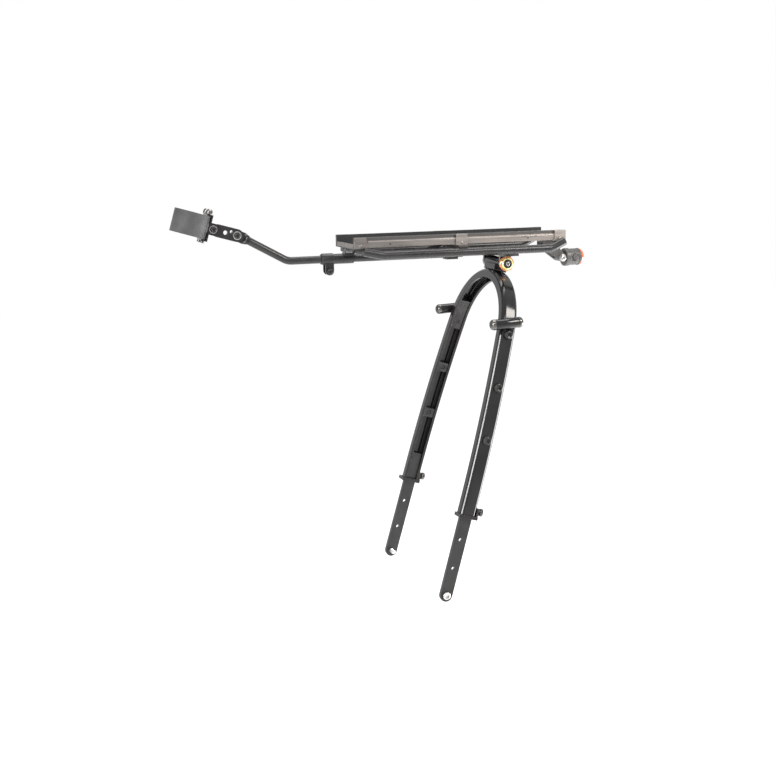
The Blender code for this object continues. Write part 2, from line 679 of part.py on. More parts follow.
def make_middle_plate(frame):
    """The middle cross plate carries wings over the load tubes and the arm's rear guide."""
    start = PLATE_MIDDLE - PLATE_LENGTH / 2
    plate = make_cross_plate("middle_plate", start, frame)
    floor = RAIL_TOP - RAIL_HEIGHT - GAP - PLATE_THICKNESS
    reach = TUBE_OUTBOARD + 2.0 * MM
    rest = TUBE_HEIGHT + TUBE_RADIUS + GAP
    section = [(RAIL_OUTER, floor), (reach, rest), (reach, rest + 1.6 * MM), (RAIL_OUTER, floor + 1.6 * MM)]
    for side, label in ((-1, "left"), (1, "right")):
        wing = bmesh.new()
        ends = (start + 2 * MM, start + PLATE_LENGTH - 2 * MM)
        add_loft(wing, [[(x, side * y, z) for y, z in section] for x in ends])
        combine(plate, tool("middle_wing_" + label, wing, frame), "UNION")
    block = bmesh.new()
    half = ARM_RADIUS + 2.4 * MM
    low = ARM_HEIGHT - ARM_RADIUS - 1.6 * MM
    add_box(block, (start, -half, low), (start + PLATE_LENGTH, half, floor + 0.5 * MM))
    combine(plate, tool("middle_block", block, frame), "UNION")
    centre = (PLATE_MIDDLE, 0, ARM_HEIGHT)
    cut_round(plate, ARM_RADIUS + ARM_CLEARANCE, -20 * MM, 20 * MM, centre, "X", frame, None, 24)
    return plate


def tube_rings(points, radius, sides=14):
    """Rings of a round tube that follows points in a plane of constant y."""
    rings = []
    last = len(points) - 1
    for k, (x, y, z) in enumerate(points):
        before = points[max(k - 1, 0)]
        after = points[min(k + 1, last)]
        slope = atan2(after[2] - before[2], after[0] - before[0])
        ring = []
        for step in range(sides):
            turn = 2 * pi * step / sides
            up = radius * cos(turn)
            ring.append((x - up * sin(slope), y + radius * sin(turn), z + up * cos(slope)))
        rings.append(ring)
    return rings


def rounded_path(corners, radius, steps=6):
    """Replace each inner corner of a polyline of (x, z) points by an arc."""
    path = [Vector(corners[0])]
    for before, corner, after in zip(corners, corners[1:], corners[2:]):
        into = (Vector(corner) - Vector(before)).normalized()
        away = (Vector(after) - Vector(corner)).normalized()
        turn = acos(max(-1.0, min(1.0, into.dot(away))))
        setback = radius * tan(turn / 2)
        side = 1 if into.x * away.y - into.y * away.x > 0 else -1
        normal = Vector((-into.y, into.x)) * side
        centre = Vector(corner) - into * setback + normal * radius
        for k in range(steps + 1):
            angle = side * turn * k / steps
            spoke = -normal * radius
            path.append(centre + Matrix.Rotation(angle, 2) @ spoke)
    path.append(Vector(corners[-1]))
    return path


def make_side_tube(side, name, frame):
    """Load tube outboard of a rail, bent up to the deck at both ends."""
    corners = [
        TUBE_FRONT, (TUBE_FRONT[0] + TUBE_FRONT_RAMP, TUBE_HEIGHT),
        (TUBE_REAR[0] - TUBE_REAR_RAMP, TUBE_HEIGHT), TUBE_REAR,
    ]
    path = rounded_path(corners, 24 * MM, 5)
    bm = bmesh.new()
    add_loft(bm, tube_rings([(x, side * TUBE_OUTBOARD, z) for x, z in path], TUBE_RADIUS, 16))
    return finish_object(name, bm, "black_alloy", frame)


# ---------------------------------------------------------------- arm and sleeve

def make_arm(frame):
    """Bent arm: a round tube that slides under the deck, with a flattened front end."""
    corners = [(ARM_TAIL, ARM_HEIGHT), (ARM_BEND_AT, ARM_HEIGHT), ARM_RISE_END]
    path = rounded_path(corners, ARM_BEND_RADIUS, 6)
    bm = bmesh.new()
    rings = tube_rings([(x, 0, z) for x, z in path], ARM_RADIUS, 20)
    rise = Vector(ARM_RISE_END) - Vector(corners[1])
    along = rise.normalized()
    across = Vector((along.y, -along.x))
    tongue_y = LINK_THICKNESS / 2 + GAP
    blend = [(2.5 * MM, 0.5), (5.5 * MM, 0.92), (7.8 * MM, 1.0)]
    for distance, flat in blend:
        middle = Vector(ARM_RISE_END) + along * distance
        ring = []
        for step in range(20):
            turn = 2 * pi * step / 20
            square = 0.55 * flat
            tall = ARM_RADIUS + (LINK_HALF_HEIGHT - 0.6 * MM - ARM_RADIUS) * flat
            half_thin = ARM_RADIUS + (TONGUE_THICKNESS / 2 - ARM_RADIUS) * flat
            centre_y = (tongue_y + TONGUE_THICKNESS / 2) * flat
            up = cos(turn)
            out = sin(turn)
            stretch = 1 + square * (max(abs(up), abs(out)) ** -1 - 1)
            spot = middle - across * (tall * up * stretch)
            ring.append((spot.x, centre_y + half_thin * out * stretch, spot.y))
        rings.append(ring)
    add_loft(bm, rings)
    arm = finish_object("arm_tube", bm, "black_alloy", frame)
    bolt = Vector(LINK_BOLT)
    start = Vector(ARM_RISE_END) + along * 7 * MM
    half = LINK_HALF_HEIGHT - 0.8 * MM
    to_bolt = (bolt - start).normalized()
    heading = atan2(to_bolt.y, to_bolt.x) * 180 / pi
    side = Vector((-to_bolt.y, to_bolt.x)) * half
    outline = [tuple(start + side)] + [tuple(start - side)]
    outline += arc(tuple(bolt), half, heading - 90, heading + 90, 12)
    tongue = bmesh.new()
    add_slab(tongue, outline, tongue_y, tongue_y + TONGUE_THICKNESS)
    combine(arm, tool("arm_tongue", tongue, frame), "UNION")
    hole = JOINT_BOLT_RADIUS + 0.05 * MM
    cut_round(arm, hole, 0, 12 * MM, (LINK_BOLT[0], 0, LINK_BOLT[1]), "Y", frame, None, 24)
    return arm


def make_sleeve(frame):
    """Sleeve that guides the arm, hung from the front plate by a folded hanger."""
    bm = bmesh.new()
    length = SLEEVE_REAR - SLEEVE_FRONT
    profile = [(SLEEVE_RADIUS, 0), (SLEEVE_RADIUS, length)]
    add_turned(bm, profile, (SLEEVE_FRONT, 0, ARM_HEIGHT), "X", 24)
    sleeve = finish_object("arm_sleeve", bm, "black_alloy", frame)
    floor = RAIL_TOP - RAIL_HEIGHT - GAP - PLATE_THICKNESS - GAP
    hanger = bmesh.new()
    low = ARM_HEIGHT + 2 * MM
    outline = [(-197.5 * MM, low), (-185.6 * MM, low), (-181.0 * MM, floor), (-194.0 * MM, floor)]
    add_slab(hanger, outline, -5.0 * MM, 5.0 * MM)
    combine(sleeve, tool("sleeve_hanger", hanger, frame), "UNION")
    bore = ARM_RADIUS + ARM_CLEARANCE
    cut_round(sleeve, bore, -20 * MM, 80 * MM, (SLEEVE_FRONT, 0, ARM_HEIGHT), "X", frame, None, 24)
    return sleeve


def make_sleeve_clamp(frame):
    """Split clamp ahead of the sleeve that grips the arm, with two hanging ears."""
    inner = ARM_RADIUS + ARM_CLEARANCE
    outer = inner + CLAMP_WALL
    front = SLEEVE_FRONT - GAP - CLAMP_LENGTH
    drop = ARM_HEIGHT - CLAMP_EAR_DROP
    bm = bmesh.new()
    profile = [(outer - 1.2 * MM, 0), (outer, 1.2 * MM), (outer, CLAMP_LENGTH)]
    add_turned(bm, profile, (front, 0, ARM_HEIGHT), "X", 24)
    clamp = finish_object("sleeve_clamp", bm, "black_alloy", frame)
    middle = front + CLAMP_LENGTH - CLAMP_EAR_RADIUS
    radius = CLAMP_EAR_RADIUS
    outline = [(middle + radius, ARM_HEIGHT), (middle - radius, ARM_HEIGHT)]
    outline += arc((middle, drop), radius, 180, 360, 12)
    for side, label in ((-1, "left"), (1, "right")):
        ear = bmesh.new()
        ends = sorted((side * (CLAMP_EAR_OUTER - CLAMP_EAR_THICKNESS), side * CLAMP_EAR_OUTER))
        add_slab(ear, outline, *ends)
        combine(clamp, tool("clamp_ear_" + label, ear, frame), "UNION")
    cut_round(clamp, inner, -10 * MM, 30 * MM, (front, 0, ARM_HEIGHT), "X", frame, None, 24)
    gap = bmesh.new()
    half = CLAMP_EAR_OUTER - CLAMP_EAR_THICKNESS
    add_box(gap, (front - 5 * MM, -half, drop), (front + CLAMP_LENGTH + 5 * MM, half, ARM_HEIGHT))
    combine(clamp, tool("clamp_gap", gap, frame), "DIFFERENCE")
    cut_round(clamp, JOINT_BOLT_RADIUS + 0.1 * MM, -15 * MM, 15 * MM, (middle, 0, drop), "Y", frame)
    return clamp


def cross_bolt(name, finish, spot, head_y, length, frame, side=-1, radius=None):
    """A socket screw along Y whose head seats at head_y on the given side."""
    place = Matrix.Translation(Vector((spot[0], side * head_y, spot[1])))
    place = place @ Matrix.Rotation(-side * pi / 2, 4, "X")
    head = radius or JOINT_HEAD_RADIUS
    return socket_screw(name, finish, head, JOINT_BOLT_RADIUS, 2.6 * MM, length, frame, place)


# ---------------------------------------------------------------- link and seatpost clamp

def make_link(frame):
    """Flat link between the arm's tongue and the clamp bracket, with two lightening holes."""
    clevis = Vector(CLEVIS_BOLT)
    bolt = Vector(LINK_BOLT)
    run = (bolt - clevis).normalized()
    heading = atan2(run.y, run.x) * 180 / pi
    side = Vector((-run.y, run.x)) * LINK_HALF_HEIGHT
    shoulder = clevis + run * 5.5 * MM
    outline = arc(tuple(bolt), LINK_HALF_HEIGHT, heading - 90, heading + 90, 12)
    outline += [tuple(shoulder + side)]
    outline += arc(tuple(clevis), LINK_NOSE_RADIUS, heading + 110, heading + 250, 8)
    outline += [tuple(shoulder - side)]
    half = LINK_THICKNESS / 2
    bm = bmesh.new()
    add_slab(bm, outline, -half, half)
    link = finish_object("link_plate", bm, "black_alloy", frame)
    spots = [(clevis, JOINT_BOLT_RADIUS + 0.05 * MM), (bolt, JOINT_BOLT_RADIUS + 0.05 * MM)]
    spots += [(clevis + run * 15.2 * MM, 2.5 * MM)]
    spots += [(clevis + run * 21.6 * MM + side * 0.36, 1.7 * MM)]
    for spot, radius in spots:
        cut_round(link, radius, -10 * MM, 10 * MM, (spot.x, 0, spot.y), "Y", frame, None, 24)
    return link


def make_clamp_bracket(frame):
    """Folded bracket behind the seatpost: two flanges hold the strap's pins, two ears the link."""
    width = BRACKET_HALF_WIDTH
    tall = BRACKET_HALF_HEIGHT
    back = BRACKET_BACK
    wall = BRACKET_THICKNESS
    front = STRAP_PIN_BACK - 2.4 * MM
    pivot = STRAP_CENTRE_AHEAD
    flange = STRAP_HEIGHT / 2 + GAP
    section = [
        (front, tall), (front, flange), (back, flange), (back, -flange), (front, -flange), (front, -tall),
        (back + wall, -tall), (back + wall, tall),
    ]
    bm = bmesh.new()
    add_slab(bm, section, -width, width)
    bracket = finish_object("clamp_bracket", bm, "black_alloy", frame, smooth=False)
    radius = BRACKET_EAR_RADIUS
    outline = [(back + 0.5 * MM, radius), (back + 0.5 * MM, -radius)]
    outline += arc((pivot + BRACKET_EAR_REACH, 0), radius, -90, 90, 12)
    for side, label in ((-1, "left"), (1, "right")):
        inner = side * (LINK_THICKNESS / 2 + GAP)
        ear = bmesh.new()
        add_slab(ear, outline, *sorted((inner, inner + side * BRACKET_EAR_THICKNESS)))
        combine(bracket, tool("bracket_ear_" + label, ear, frame), "UNION")
    window = bmesh.new()
    half = LINK_THICKNESS / 2 + GAP
    add_box(window, (back - 5 * MM, -half, -9 * MM), (back + 3 * MM, half, 9 * MM))
    combine(bracket, tool("bracket_window", window, frame), "DIFFERENCE")
    for side, label in ((-1, "left"), (1, "right")):
        notch = bmesh.new()
        sides = sorted((side * (half + BRACKET_EAR_THICKNESS), side * (width + 1 * MM)))
        add_box(notch, (back - 1 * MM, sides[0], -5 * MM), (back + 3 * MM, sides[1], 5 * MM))
        combine(bracket, tool("bracket_notch_" + label, notch, frame), "DIFFERENCE")
    cut_round(bracket, JOINT_BOLT_RADIUS + 0.05 * MM, -20 * MM, 20 * MM, (pivot, 0, 0), "Y", frame, None, 24)
    for side in (-1, 1):
        spot = (STRAP_PIN_BACK, side * STRAP_PIN_SIDE, 0)
        cut_round(bracket, STRAP_PIN_RADIUS + 0.05 * MM, -30 * MM, 30 * MM, spot, "Z", frame)
    return bracket


def make_strap(frame):
    """Rubber band round the seatpost whose two ends are loops on the bracket's pins."""
    inner = STRAP_INNER_RADIUS
    outer = inner + STRAP_THICKNESS
    middle = (inner + outer) / 2
    loop = STRAP_LOOP_RADIUS
    pin = Vector((STRAP_PIN_BACK, STRAP_PIN_SIDE))
    open_angle = atan2(pin.y, pin.x)
    start = open_angle * 180 / pi + 6
    outline = arc((0, 0), outer, start, 360 - start, 30) + arc((0, 0), inner, 360 - start, start, 30)
    half = STRAP_HEIGHT / 2
    bm = bmesh.new()
    add_loft(bm, [[(x, y, z) for x, y in outline] for z in (-half, half)])
    strap = finish_object("seatpost_strap", bm, "rubber", frame)
    for side, label in ((-1, "left"), (1, "right")):
        lug = bmesh.new()
        add_turned(lug, [(loop, -half), (loop, half)], (pin.x, side * pin.y, 0), "Z", 14)
        combine(strap, tool("strap_loop_" + label, lug, frame), "UNION")
        web = bmesh.new()
        spot = (middle * cos(open_angle + 0.25), side * middle * sin(open_angle + 0.25), 0)
        add_turned(web, [(STRAP_THICKNESS / 2 + 0.4 * MM, -half), (STRAP_THICKNESS / 2 + 0.4 * MM, half)],
                   spot, "Z", 10)
        combine(strap, tool("strap_web_" + label, web, frame), "UNION")
    for side in (-1, 1):
        spot = (pin.x, side * pin.y, 0)
        cut_round(strap, STRAP_PIN_RADIUS + GAP, -30 * MM, 30 * MM, spot, "Z", frame)
    return strap


def make_strap_pin(side, name, frame):
    """Pin through a strap loop and both flanges, with a head above and a nut below."""
    top = BRACKET_HALF_HEIGHT + GAP
    head = STRAP_PIN_HEAD
    bm = bmesh.new()
    profile = [(2.6 * MM, -top - 2.2 * MM), (2.6 * MM, -top), (STRAP_PIN_RADIUS, -top), (STRAP_PIN_RADIUS, top)]
    profile += [(head, top), (head, top + 3.0 * MM)]
    profile += [(head * 0.85, top + 4.6 * MM), (head * 0.5, top + 5.6 * MM)]
    add_turned(bm, profile, (STRAP_PIN_BACK, side * STRAP_PIN_SIDE, 0), "Z", 18)
    return finish_object(name, bm, "steel", frame)


# ---------------------------------------------------------------- tail light

def make_light_bracket(frame):
    """Fork under the rear plate that holds the tail light by a cross bolt."""
    floor = RAIL_TOP - RAIL_HEIGHT - GAP - PLATE_THICKNESS - GAP
    inner = LIGHT_FORK_HALF_GAP
    outer = inner + 2.2 * MM
    start = 58.0 * MM
    bm = bmesh.new()
    add_box(bm, (start, -outer, floor - 2.2 * MM), (start + 15 * MM, outer, floor))
    bracket = finish_object("light_bracket", bm, "dark_plastic", frame, smooth=False)
    x = LIGHT_AXIS_X
    z = LIGHT_AXIS_Z
    outline = [(start, floor - 1 * MM), (start, floor - 8 * MM)]
    outline += arc((x, z), LIGHT_CHEEK_RADIUS, 225, 405, 12)
    outline += [(start + 15 * MM, floor - 1 * MM)]
    for side, label in ((-1, "left"), (1, "right")):
        cheek = bmesh.new()
        add_slab(cheek, outline, *sorted((side * inner, side * outer)))
        combine(bracket, tool("light_cheek_" + label, cheek, frame), "UNION")
    cut_round(bracket, JOINT_BOLT_RADIUS + 0.1 * MM, -15 * MM, 15 * MM, (x, 0, z), "Y", frame)
    return bracket


def make_light_mount(frame):
    """Clamp ring round the light with a lug between the fork's cheeks."""
    radius = LIGHT_RING_RADIUS
    start = LIGHT_BODY_START
    bm = bmesh.new()
    profile = [(radius - 0.8 * MM, 0), (radius, 0.8 * MM), (radius, 6.2 * MM), (radius - 0.8 * MM, 7.0 * MM)]
    add_turned(bm, profile, (start, 0, LIGHT_AXIS_Z), "X", 28)
    mount = finish_object("light_mount", bm, "dark_plastic", frame)
    lug = bmesh.new()
    near = start + 1 * MM
    outline = [(near, LIGHT_AXIS_Z - LIGHT_CHEEK_RADIUS), (near, LIGHT_AXIS_Z + LIGHT_CHEEK_RADIUS)]
    outline += arc((LIGHT_AXIS_X, LIGHT_AXIS_Z), LIGHT_CHEEK_RADIUS, 90, 270, 12)
    half = LIGHT_FORK_HALF_GAP - GAP
    add_slab(lug, outline, -half, half)
    combine(mount, tool("light_lug", lug, frame), "UNION")
    core = bmesh.new()
    add_turned(core, [(LIGHT_RADIUS + GAP, 2.0 * MM), (LIGHT_RADIUS + GAP, 20 * MM)],
               (start, 0, LIGHT_AXIS_Z), "X", 28)
    combine(mount, tool("light_socket", core, frame), "DIFFERENCE")
    hole = (LIGHT_AXIS_X, 0, LIGHT_AXIS_Z)
    cut_round(mount, JOINT_BOLT_RADIUS + 0.1 * MM, -15 * MM, 15 * MM, hole, "Y", frame)
    return mount


def make_light_body(frame):
    """Round housing with a hole in its left side for the button."""
    start = LIGHT_BODY_START + 2.3 * MM
    end = LIGHT_BODY_END
    radius = LIGHT_RADIUS
    bm = bmesh.new()
    add_turned(bm, [(radius, 0), (radius, end - start)], (start, 0, LIGHT_AXIS_Z), "X", 32)
    body = finish_object("light_body", bm, "dark_plastic", frame)
    spot = (BUTTON_X, 0, LIGHT_AXIS_Z)
    cut_round(body, BUTTON_RADIUS + GAP, -20 * MM, -radius + 3.2 * MM, spot, "Y", frame)
    return body


def make_light_button(frame):
    """Push button on the light's left side."""
    radius = BUTTON_RADIUS
    outer = LIGHT_RADIUS + 1.0 * MM
    bm = bmesh.new()
    profile = [(radius * 0.8, -outer), (radius, -outer + 0.5 * MM), (radius, -LIGHT_RADIUS + 2.0 * MM)]
    add_turned(bm, profile, (0, 0, 0), "Y", 20)
    place = Matrix.Translation(Vector((BUTTON_X, 0, LIGHT_AXIS_Z)))
    return finish_object("light_button", bm, "dark_plastic", frame, place)


def make_light_lens(frame):
    """Domed rear lens."""
    radius = LIGHT_RADIUS
    start = LIGHT_BODY_END + GAP
    bm = bmesh.new()
    profile = [(radius, 0)]
    for k in range(1, 6):
        turn = radians(82) * k / 5
        profile.append((radius * cos(turn), LIGHT_LENS_BULGE * sin(turn)))
    add_turned(bm, profile, (start, 0, LIGHT_AXIS_Z), "X", 32)
    return finish_object("light_lens", bm, "red_lens", frame)


# ---------------------------------------------------------------- assembly

def clear_scene():
    """Remove every object that is already there."""
    for obj in list(bpy.data.objects):
        bpy.data.objects.remove(obj, do_unlink=True)


def build_legs(frame):
    """Arch, legs, blades and everything bolted to them."""
    make_arch(frame)
    for side, label in ((-1, "left"), (1, "right")):
        make_leg(side, label + "_leg", frame)
        make_peg(side, label + "_peg", frame)
        make_collar(side, label + "_collar", frame)
        make_thumb_screw(side, label + "_thumb_screw", frame)
        make_blade(side, label + "_blade", frame)
        make_eyelet_bolt(side, label + "_eyelet_bolt", frame)
        for index in range(3):
            make_boss_bolt(side, index, f"{label}_leg_bolt_{index + 1}", frame)
        for index in (1, 2):
            low = BOSS_TOP - index * BOSS_PITCH - PAD_LENGTH / 2
            make_pad(side, low, low + PAD_LENGTH, f"{label}_nut_pad_{index}", frame)
        make_pad(side, SPLICE_HEIGHT - SPLICE_LENGTH / 2, SPLICE_HEIGHT + SPLICE_LENGTH / 2,
                 label + "_splice_block", frame)
    make_arch_saddle(frame)
    make_saddle_bolt(frame)


def build_pivot(frame):
    """Pin, caps and the two coloured rings of the deck pivot."""
    make_pivot_bracket(frame)
    make_pivot_pin(frame)
    make_pivot_cap(-1, "left_pivot_cap", frame)
    make_pivot_cap(1, "right_pivot_cap", frame)
    clear = CAP_RADIUS + GAP
    make_pivot_ring("pivot_ring", "yellow_alloy", clear, RING_RADIUS - GAP, 5.0 * MM, 0.8 * MM, frame)
    make_pivot_ring("pivot_rim", "orange_alloy", RING_RADIUS, RIM_RADIUS, 3.6 * MM, 0.8 * MM, frame)
    make_pivot_ring("pivot_washer", "steel", clear, WASHER_RADIUS, 1.8 * MM, 0.4 * MM, frame, 1)


def build_deck(frame):
    """Rails, cross plates, load tubes, sleeve and clamp."""
    for side, label in ((-1, "left"), (1, "right")):
        make_rail(side, label + "_rail", frame)
        make_side_tube(side, label + "_side_tube", frame)
    make_front_plate(frame)
    make_middle_plate(frame)
    make_cross_plate("rear_plate", DECK_REAR - PLATE_LENGTH, frame)
    make_sleeve(frame)
    make_sleeve_clamp(frame)
    ear = (SLEEVE_FRONT - GAP - CLAMP_EAR_RADIUS, ARM_HEIGHT - CLAMP_EAR_DROP)
    cross_bolt("sleeve_clamp_bolt", "steel", ear, CLAMP_EAR_OUTER + GAP, 13 * MM, frame)


def build_front(frame):
    """Arm, link and seatpost clamp."""
    make_arm(frame)
    make_link(frame)
    cross_bolt("link_bolt", "steel", LINK_BOLT, LINK_THICKNESS / 2 + GAP, 9 * MM, frame)
    ahead = Vector((cos(POST_TILT), -sin(POST_TILT))) * STRAP_CENTRE_AHEAD
    centre = Vector(CLEVIS_BOLT) - ahead
    post = guide("post_frame", (centre.x, 0, centre.y), (0, POST_TILT, 0), frame)
    make_clamp_bracket(post)
    make_strap(post)
    make_strap_pin(-1, "left_strap_pin", post)
    make_strap_pin(1, "right_strap_pin", post)
    seat = LINK_THICKNESS / 2 + GAP + BRACKET_EAR_THICKNESS + GAP
    cross_bolt("clevis_bolt", "steel", (STRAP_CENTRE_AHEAD, 0), seat, 14 * MM, post)


def build_light(frame):
    """Tail light on its fork."""
    make_light_bracket(frame)
    make_light_mount(frame)
    make_light_body(frame)
    make_light_button(frame)
    make_light_lens(frame)
    seat = LIGHT_FORK_HALF_GAP + 2.2 * MM + GAP
    cross_bolt("light_bolt", "steel", (LIGHT_AXIS_X, LIGHT_AXIS_Z), seat, 20 * MM, frame)


def main():
    clear_scene()
    leg_frame = guide("leg_frame", (0, 0, 0), (0, LEG_LEAN, 0))
    pivot = (PIVOT_HEIGHT * sin(LEG_LEAN), 0, PIVOT_HEIGHT * cos(LEG_LEAN))
    deck_frame = guide("deck_frame", pivot, (0, -DECK_PITCH, 0))
    build_legs(leg_frame)
    build_pivot(deck_frame)
    build_deck(deck_frame)
    build_front(deck_frame)
    build_light(deck_frame)


main()
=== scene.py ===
"""Studio looks for a bicycle's rear rack: finishes, fasteners, channels and small fittings."""

import json
from math import asin, cos, pi, radians, sin, tan

import bmesh
import bpy
import numpy as np
from mathutils import Matrix, Vector


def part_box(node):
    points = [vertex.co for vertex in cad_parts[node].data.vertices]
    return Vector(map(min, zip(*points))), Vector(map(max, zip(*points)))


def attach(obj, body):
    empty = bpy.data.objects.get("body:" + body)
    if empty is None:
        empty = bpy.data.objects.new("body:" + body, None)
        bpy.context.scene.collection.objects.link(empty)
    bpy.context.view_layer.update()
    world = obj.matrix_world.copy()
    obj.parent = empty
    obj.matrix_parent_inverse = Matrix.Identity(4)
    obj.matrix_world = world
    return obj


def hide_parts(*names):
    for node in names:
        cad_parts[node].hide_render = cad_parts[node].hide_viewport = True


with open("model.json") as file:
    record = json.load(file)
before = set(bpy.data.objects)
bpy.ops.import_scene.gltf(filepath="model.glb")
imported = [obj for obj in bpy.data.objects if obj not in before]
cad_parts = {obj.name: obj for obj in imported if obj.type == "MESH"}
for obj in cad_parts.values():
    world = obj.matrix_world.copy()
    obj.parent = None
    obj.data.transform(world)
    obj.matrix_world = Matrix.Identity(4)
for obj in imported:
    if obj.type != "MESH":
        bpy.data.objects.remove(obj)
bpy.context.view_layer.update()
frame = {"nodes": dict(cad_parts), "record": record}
NODES = frame["nodes"]
MM = 0.001

# The deck's own frame: X rearward along it, Z up from it, origin on the pivot pin.
PIVOT = (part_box("pivot_pin")[0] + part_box("pivot_pin")[1]) / 2
DECK = Matrix.Translation(PIVOT) @ Matrix.Rotation(radians(-1.0), 4, "Y")
DECK_UP = DECK.to_3x3() @ Vector((0, 0, 1))


# ---------------------------------------------------------------- shader helpers

class Shader:
    """A Principled material whose colour, roughness and bump come from object-space noise."""

    def __init__(self, name, metallic=0.0, **fixed):
        self.material = bpy.data.materials.new(name)
        self.material.use_nodes = True
        self.tree = self.material.node_tree
        self.principled = self.tree.nodes["Principled BSDF"]
        self.principled.inputs["Metallic"].default_value = metallic
        for socket, value in fixed.items():
            self.principled.inputs[socket.replace("_", " ")].default_value = value
        self.coords = self.add("ShaderNodeTexCoord")
        self.colour = None
        self.normal = None

    def add(self, kind, **inputs):
        """A new node with some of its inputs set to values or linked to sockets."""
        node = self.tree.nodes.new(kind)
        for key, value in inputs.items():
            self.feed(node, key.replace("_", " "), value)
        return node

    def feed(self, node, key, value):
        """Set or link one input, found by name or by number."""
        socket = node.inputs[int(key)] if key.isdigit() else node.inputs[key]
        if isinstance(value, bpy.types.NodeSocket):
            self.tree.links.new(value, socket)
        else:
            socket.default_value = value

    def math(self, operation, first, second):
        """One Math node."""
        node = self.tree.nodes.new("ShaderNodeMath")
        node.operation = operation
        for index, value in enumerate((first, second)):
            self.feed(node, str(index), value)
        return node.outputs[0]

    def mapped(self, stretch):
        """Object coordinates multiplied by a stretch along each axis."""
        mapping = self.add("ShaderNodeMapping", Vector=self.coords.outputs["Object"])
        mapping.inputs["Scale"].default_value = stretch
        return mapping.outputs["Vector"]

    def noise(self, scale, stretch=(1, 1, 1), detail=3.0, roughness=0.55):
        """Noise over the object, with its features about 1/scale metres wide."""
        node = self.add("ShaderNodeTexNoise", Vector=self.mapped(stretch), Scale=scale, Detail=detail)
        node.inputs["Roughness"].default_value = roughness
        return node.outputs["Fac"]

    def span(self, value, low, high, to_low=0.0, to_high=1.0):
        """Map a value from one span to another, clamped."""
        node = self.add("ShaderNodeMapRange", Value=value)
        keys = ("From Min", "From Max", "To Min", "To Max")
        for key, number in zip(keys, (low, high, to_low, to_high)):
            self.feed(node, key, number)
        return node.outputs["Result"]

    def tint(self, factor, first, second):
        """Mix two colours, or sockets, by a factor."""
        node = self.tree.nodes.new("ShaderNodeMix")
        node.data_type = "RGBA"
        self.tree.links.new(factor, node.inputs[0])
        for index, value in ((6, first), (7, second)):
            if isinstance(value, bpy.types.NodeSocket):
                self.tree.links.new(value, node.inputs[index])
            else:
                node.inputs[index].default_value = (*value, 1.0)
        return node.outputs[2]

    def mottle(self, dark, light, scale, stretch=(1, 1, 1)):
        """Base colour that drifts between two near tones."""
        factor = self.span(self.noise(scale, stretch), 0.35, 0.65)
        self.colour = self.tint(factor, dark, light)
        return self

    def sheen_spread(self, low, high, scale, stretch=(1, 1, 1)):
        """Roughness that drifts between two values, as handling and finish make it."""
        value = self.span(self.noise(scale, stretch, 4.0), 0.3, 0.7, low, high)
        self.tree.links.new(value, self.principled.inputs["Roughness"])
        return self

    def grain(self, depth, scale, stretch=(1, 1, 1), strength=1.0, detail=2.0):
        """Surface texture: a bump of a real depth in metres."""
        self.bump(self.noise(scale, stretch, detail), depth, strength)
        return self

    def bump(self, height, depth, strength=1.0):
        """Stack one more bump on the normal."""
        node = self.add("ShaderNodeBump", Height=height, Strength=strength)
        node.inputs["Distance"].default_value = depth
        if self.normal:
            self.tree.links.new(self.normal, node.inputs["Normal"])
        self.normal = node.outputs["Normal"]

    def worn(self, bare, reach=0.5 * MM, amount=0.8, scale=260.0):
        """Edges rubbed back to a paler tone, broken up by noise."""
        rounded = self.add("ShaderNodeBevel", Radius=reach)
        rounded.samples = 4
        flat = self.add("ShaderNodeNewGeometry")
        turn = self.tree.nodes.new("ShaderNodeVectorMath")
        turn.operation = "DOT_PRODUCT"
        self.tree.links.new(rounded.outputs["Normal"], turn.inputs[0])
        self.tree.links.new(flat.outputs["Normal"], turn.inputs[1])
        edge = self.span(turn.outputs["Value"], 0.97, 0.80)
        patchy = self.span(self.noise(scale, detail=5.0), 0.42, 0.62, 0.0, amount)
        self.colour = self.tint(self.math("MULTIPLY", edge, patchy), self.colour, bare)
        return self

    def done(self):
        """Link the colour and the normal and give back the material."""
        if self.colour:
            self.tree.links.new(self.colour, self.principled.inputs["Base Color"])
        if self.normal:
            self.tree.links.new(self.normal, self.principled.inputs["Normal"])
        return self.material


def gloss_black():
    """Bright-dipped black anodising on the channel and brackets."""
    shader = Shader("gloss_black_anodised", 0.0, IOR=1.42)
    shader.mottle((0.0045, 0.0045, 0.0050), (0.0105, 0.0098, 0.0094), 22.0)
    shader.sheen_spread(0.07, 0.15, 45.0, (1, 1, 0.35))
    shader.grain(0.004 * MM, 5200.0, (1, 1, 0.5), 0.5)
    shader.worn((0.16, 0.155, 0.15), 0.35 * MM, 0.45)
    return shader.done()


def satin_black(name="satin_black_anodised", low=0.22, high=0.34):
    """Duller black on tubes, blades and brackets."""
    shader = Shader(name, 0.0, IOR=1.45)
    shader.mottle((0.0070, 0.0070, 0.0076), (0.0145, 0.0140, 0.0136), 30.0)
    shader.sheen_spread(low, high, 60.0)
    shader.grain(0.006 * MM, 3800.0, strength=0.6)
    shader.worn((0.14, 0.135, 0.13), 0.3 * MM, 0.5)
    return shader.done()


def black_steel():
    """Blackened steel of the fasteners."""
    shader = Shader("black_oxide_steel", 0.25, IOR=1.5)
    shader.mottle((0.008, 0.008, 0.0085), (0.026, 0.025, 0.024), 160.0)
    shader.sheen_spread(0.10, 0.24, 240.0)
    shader.grain(0.008 * MM, 2600.0, strength=0.5)
    shader.worn((0.32, 0.31, 0.30), 0.25 * MM, 0.75, 500.0)
    return shader.done()


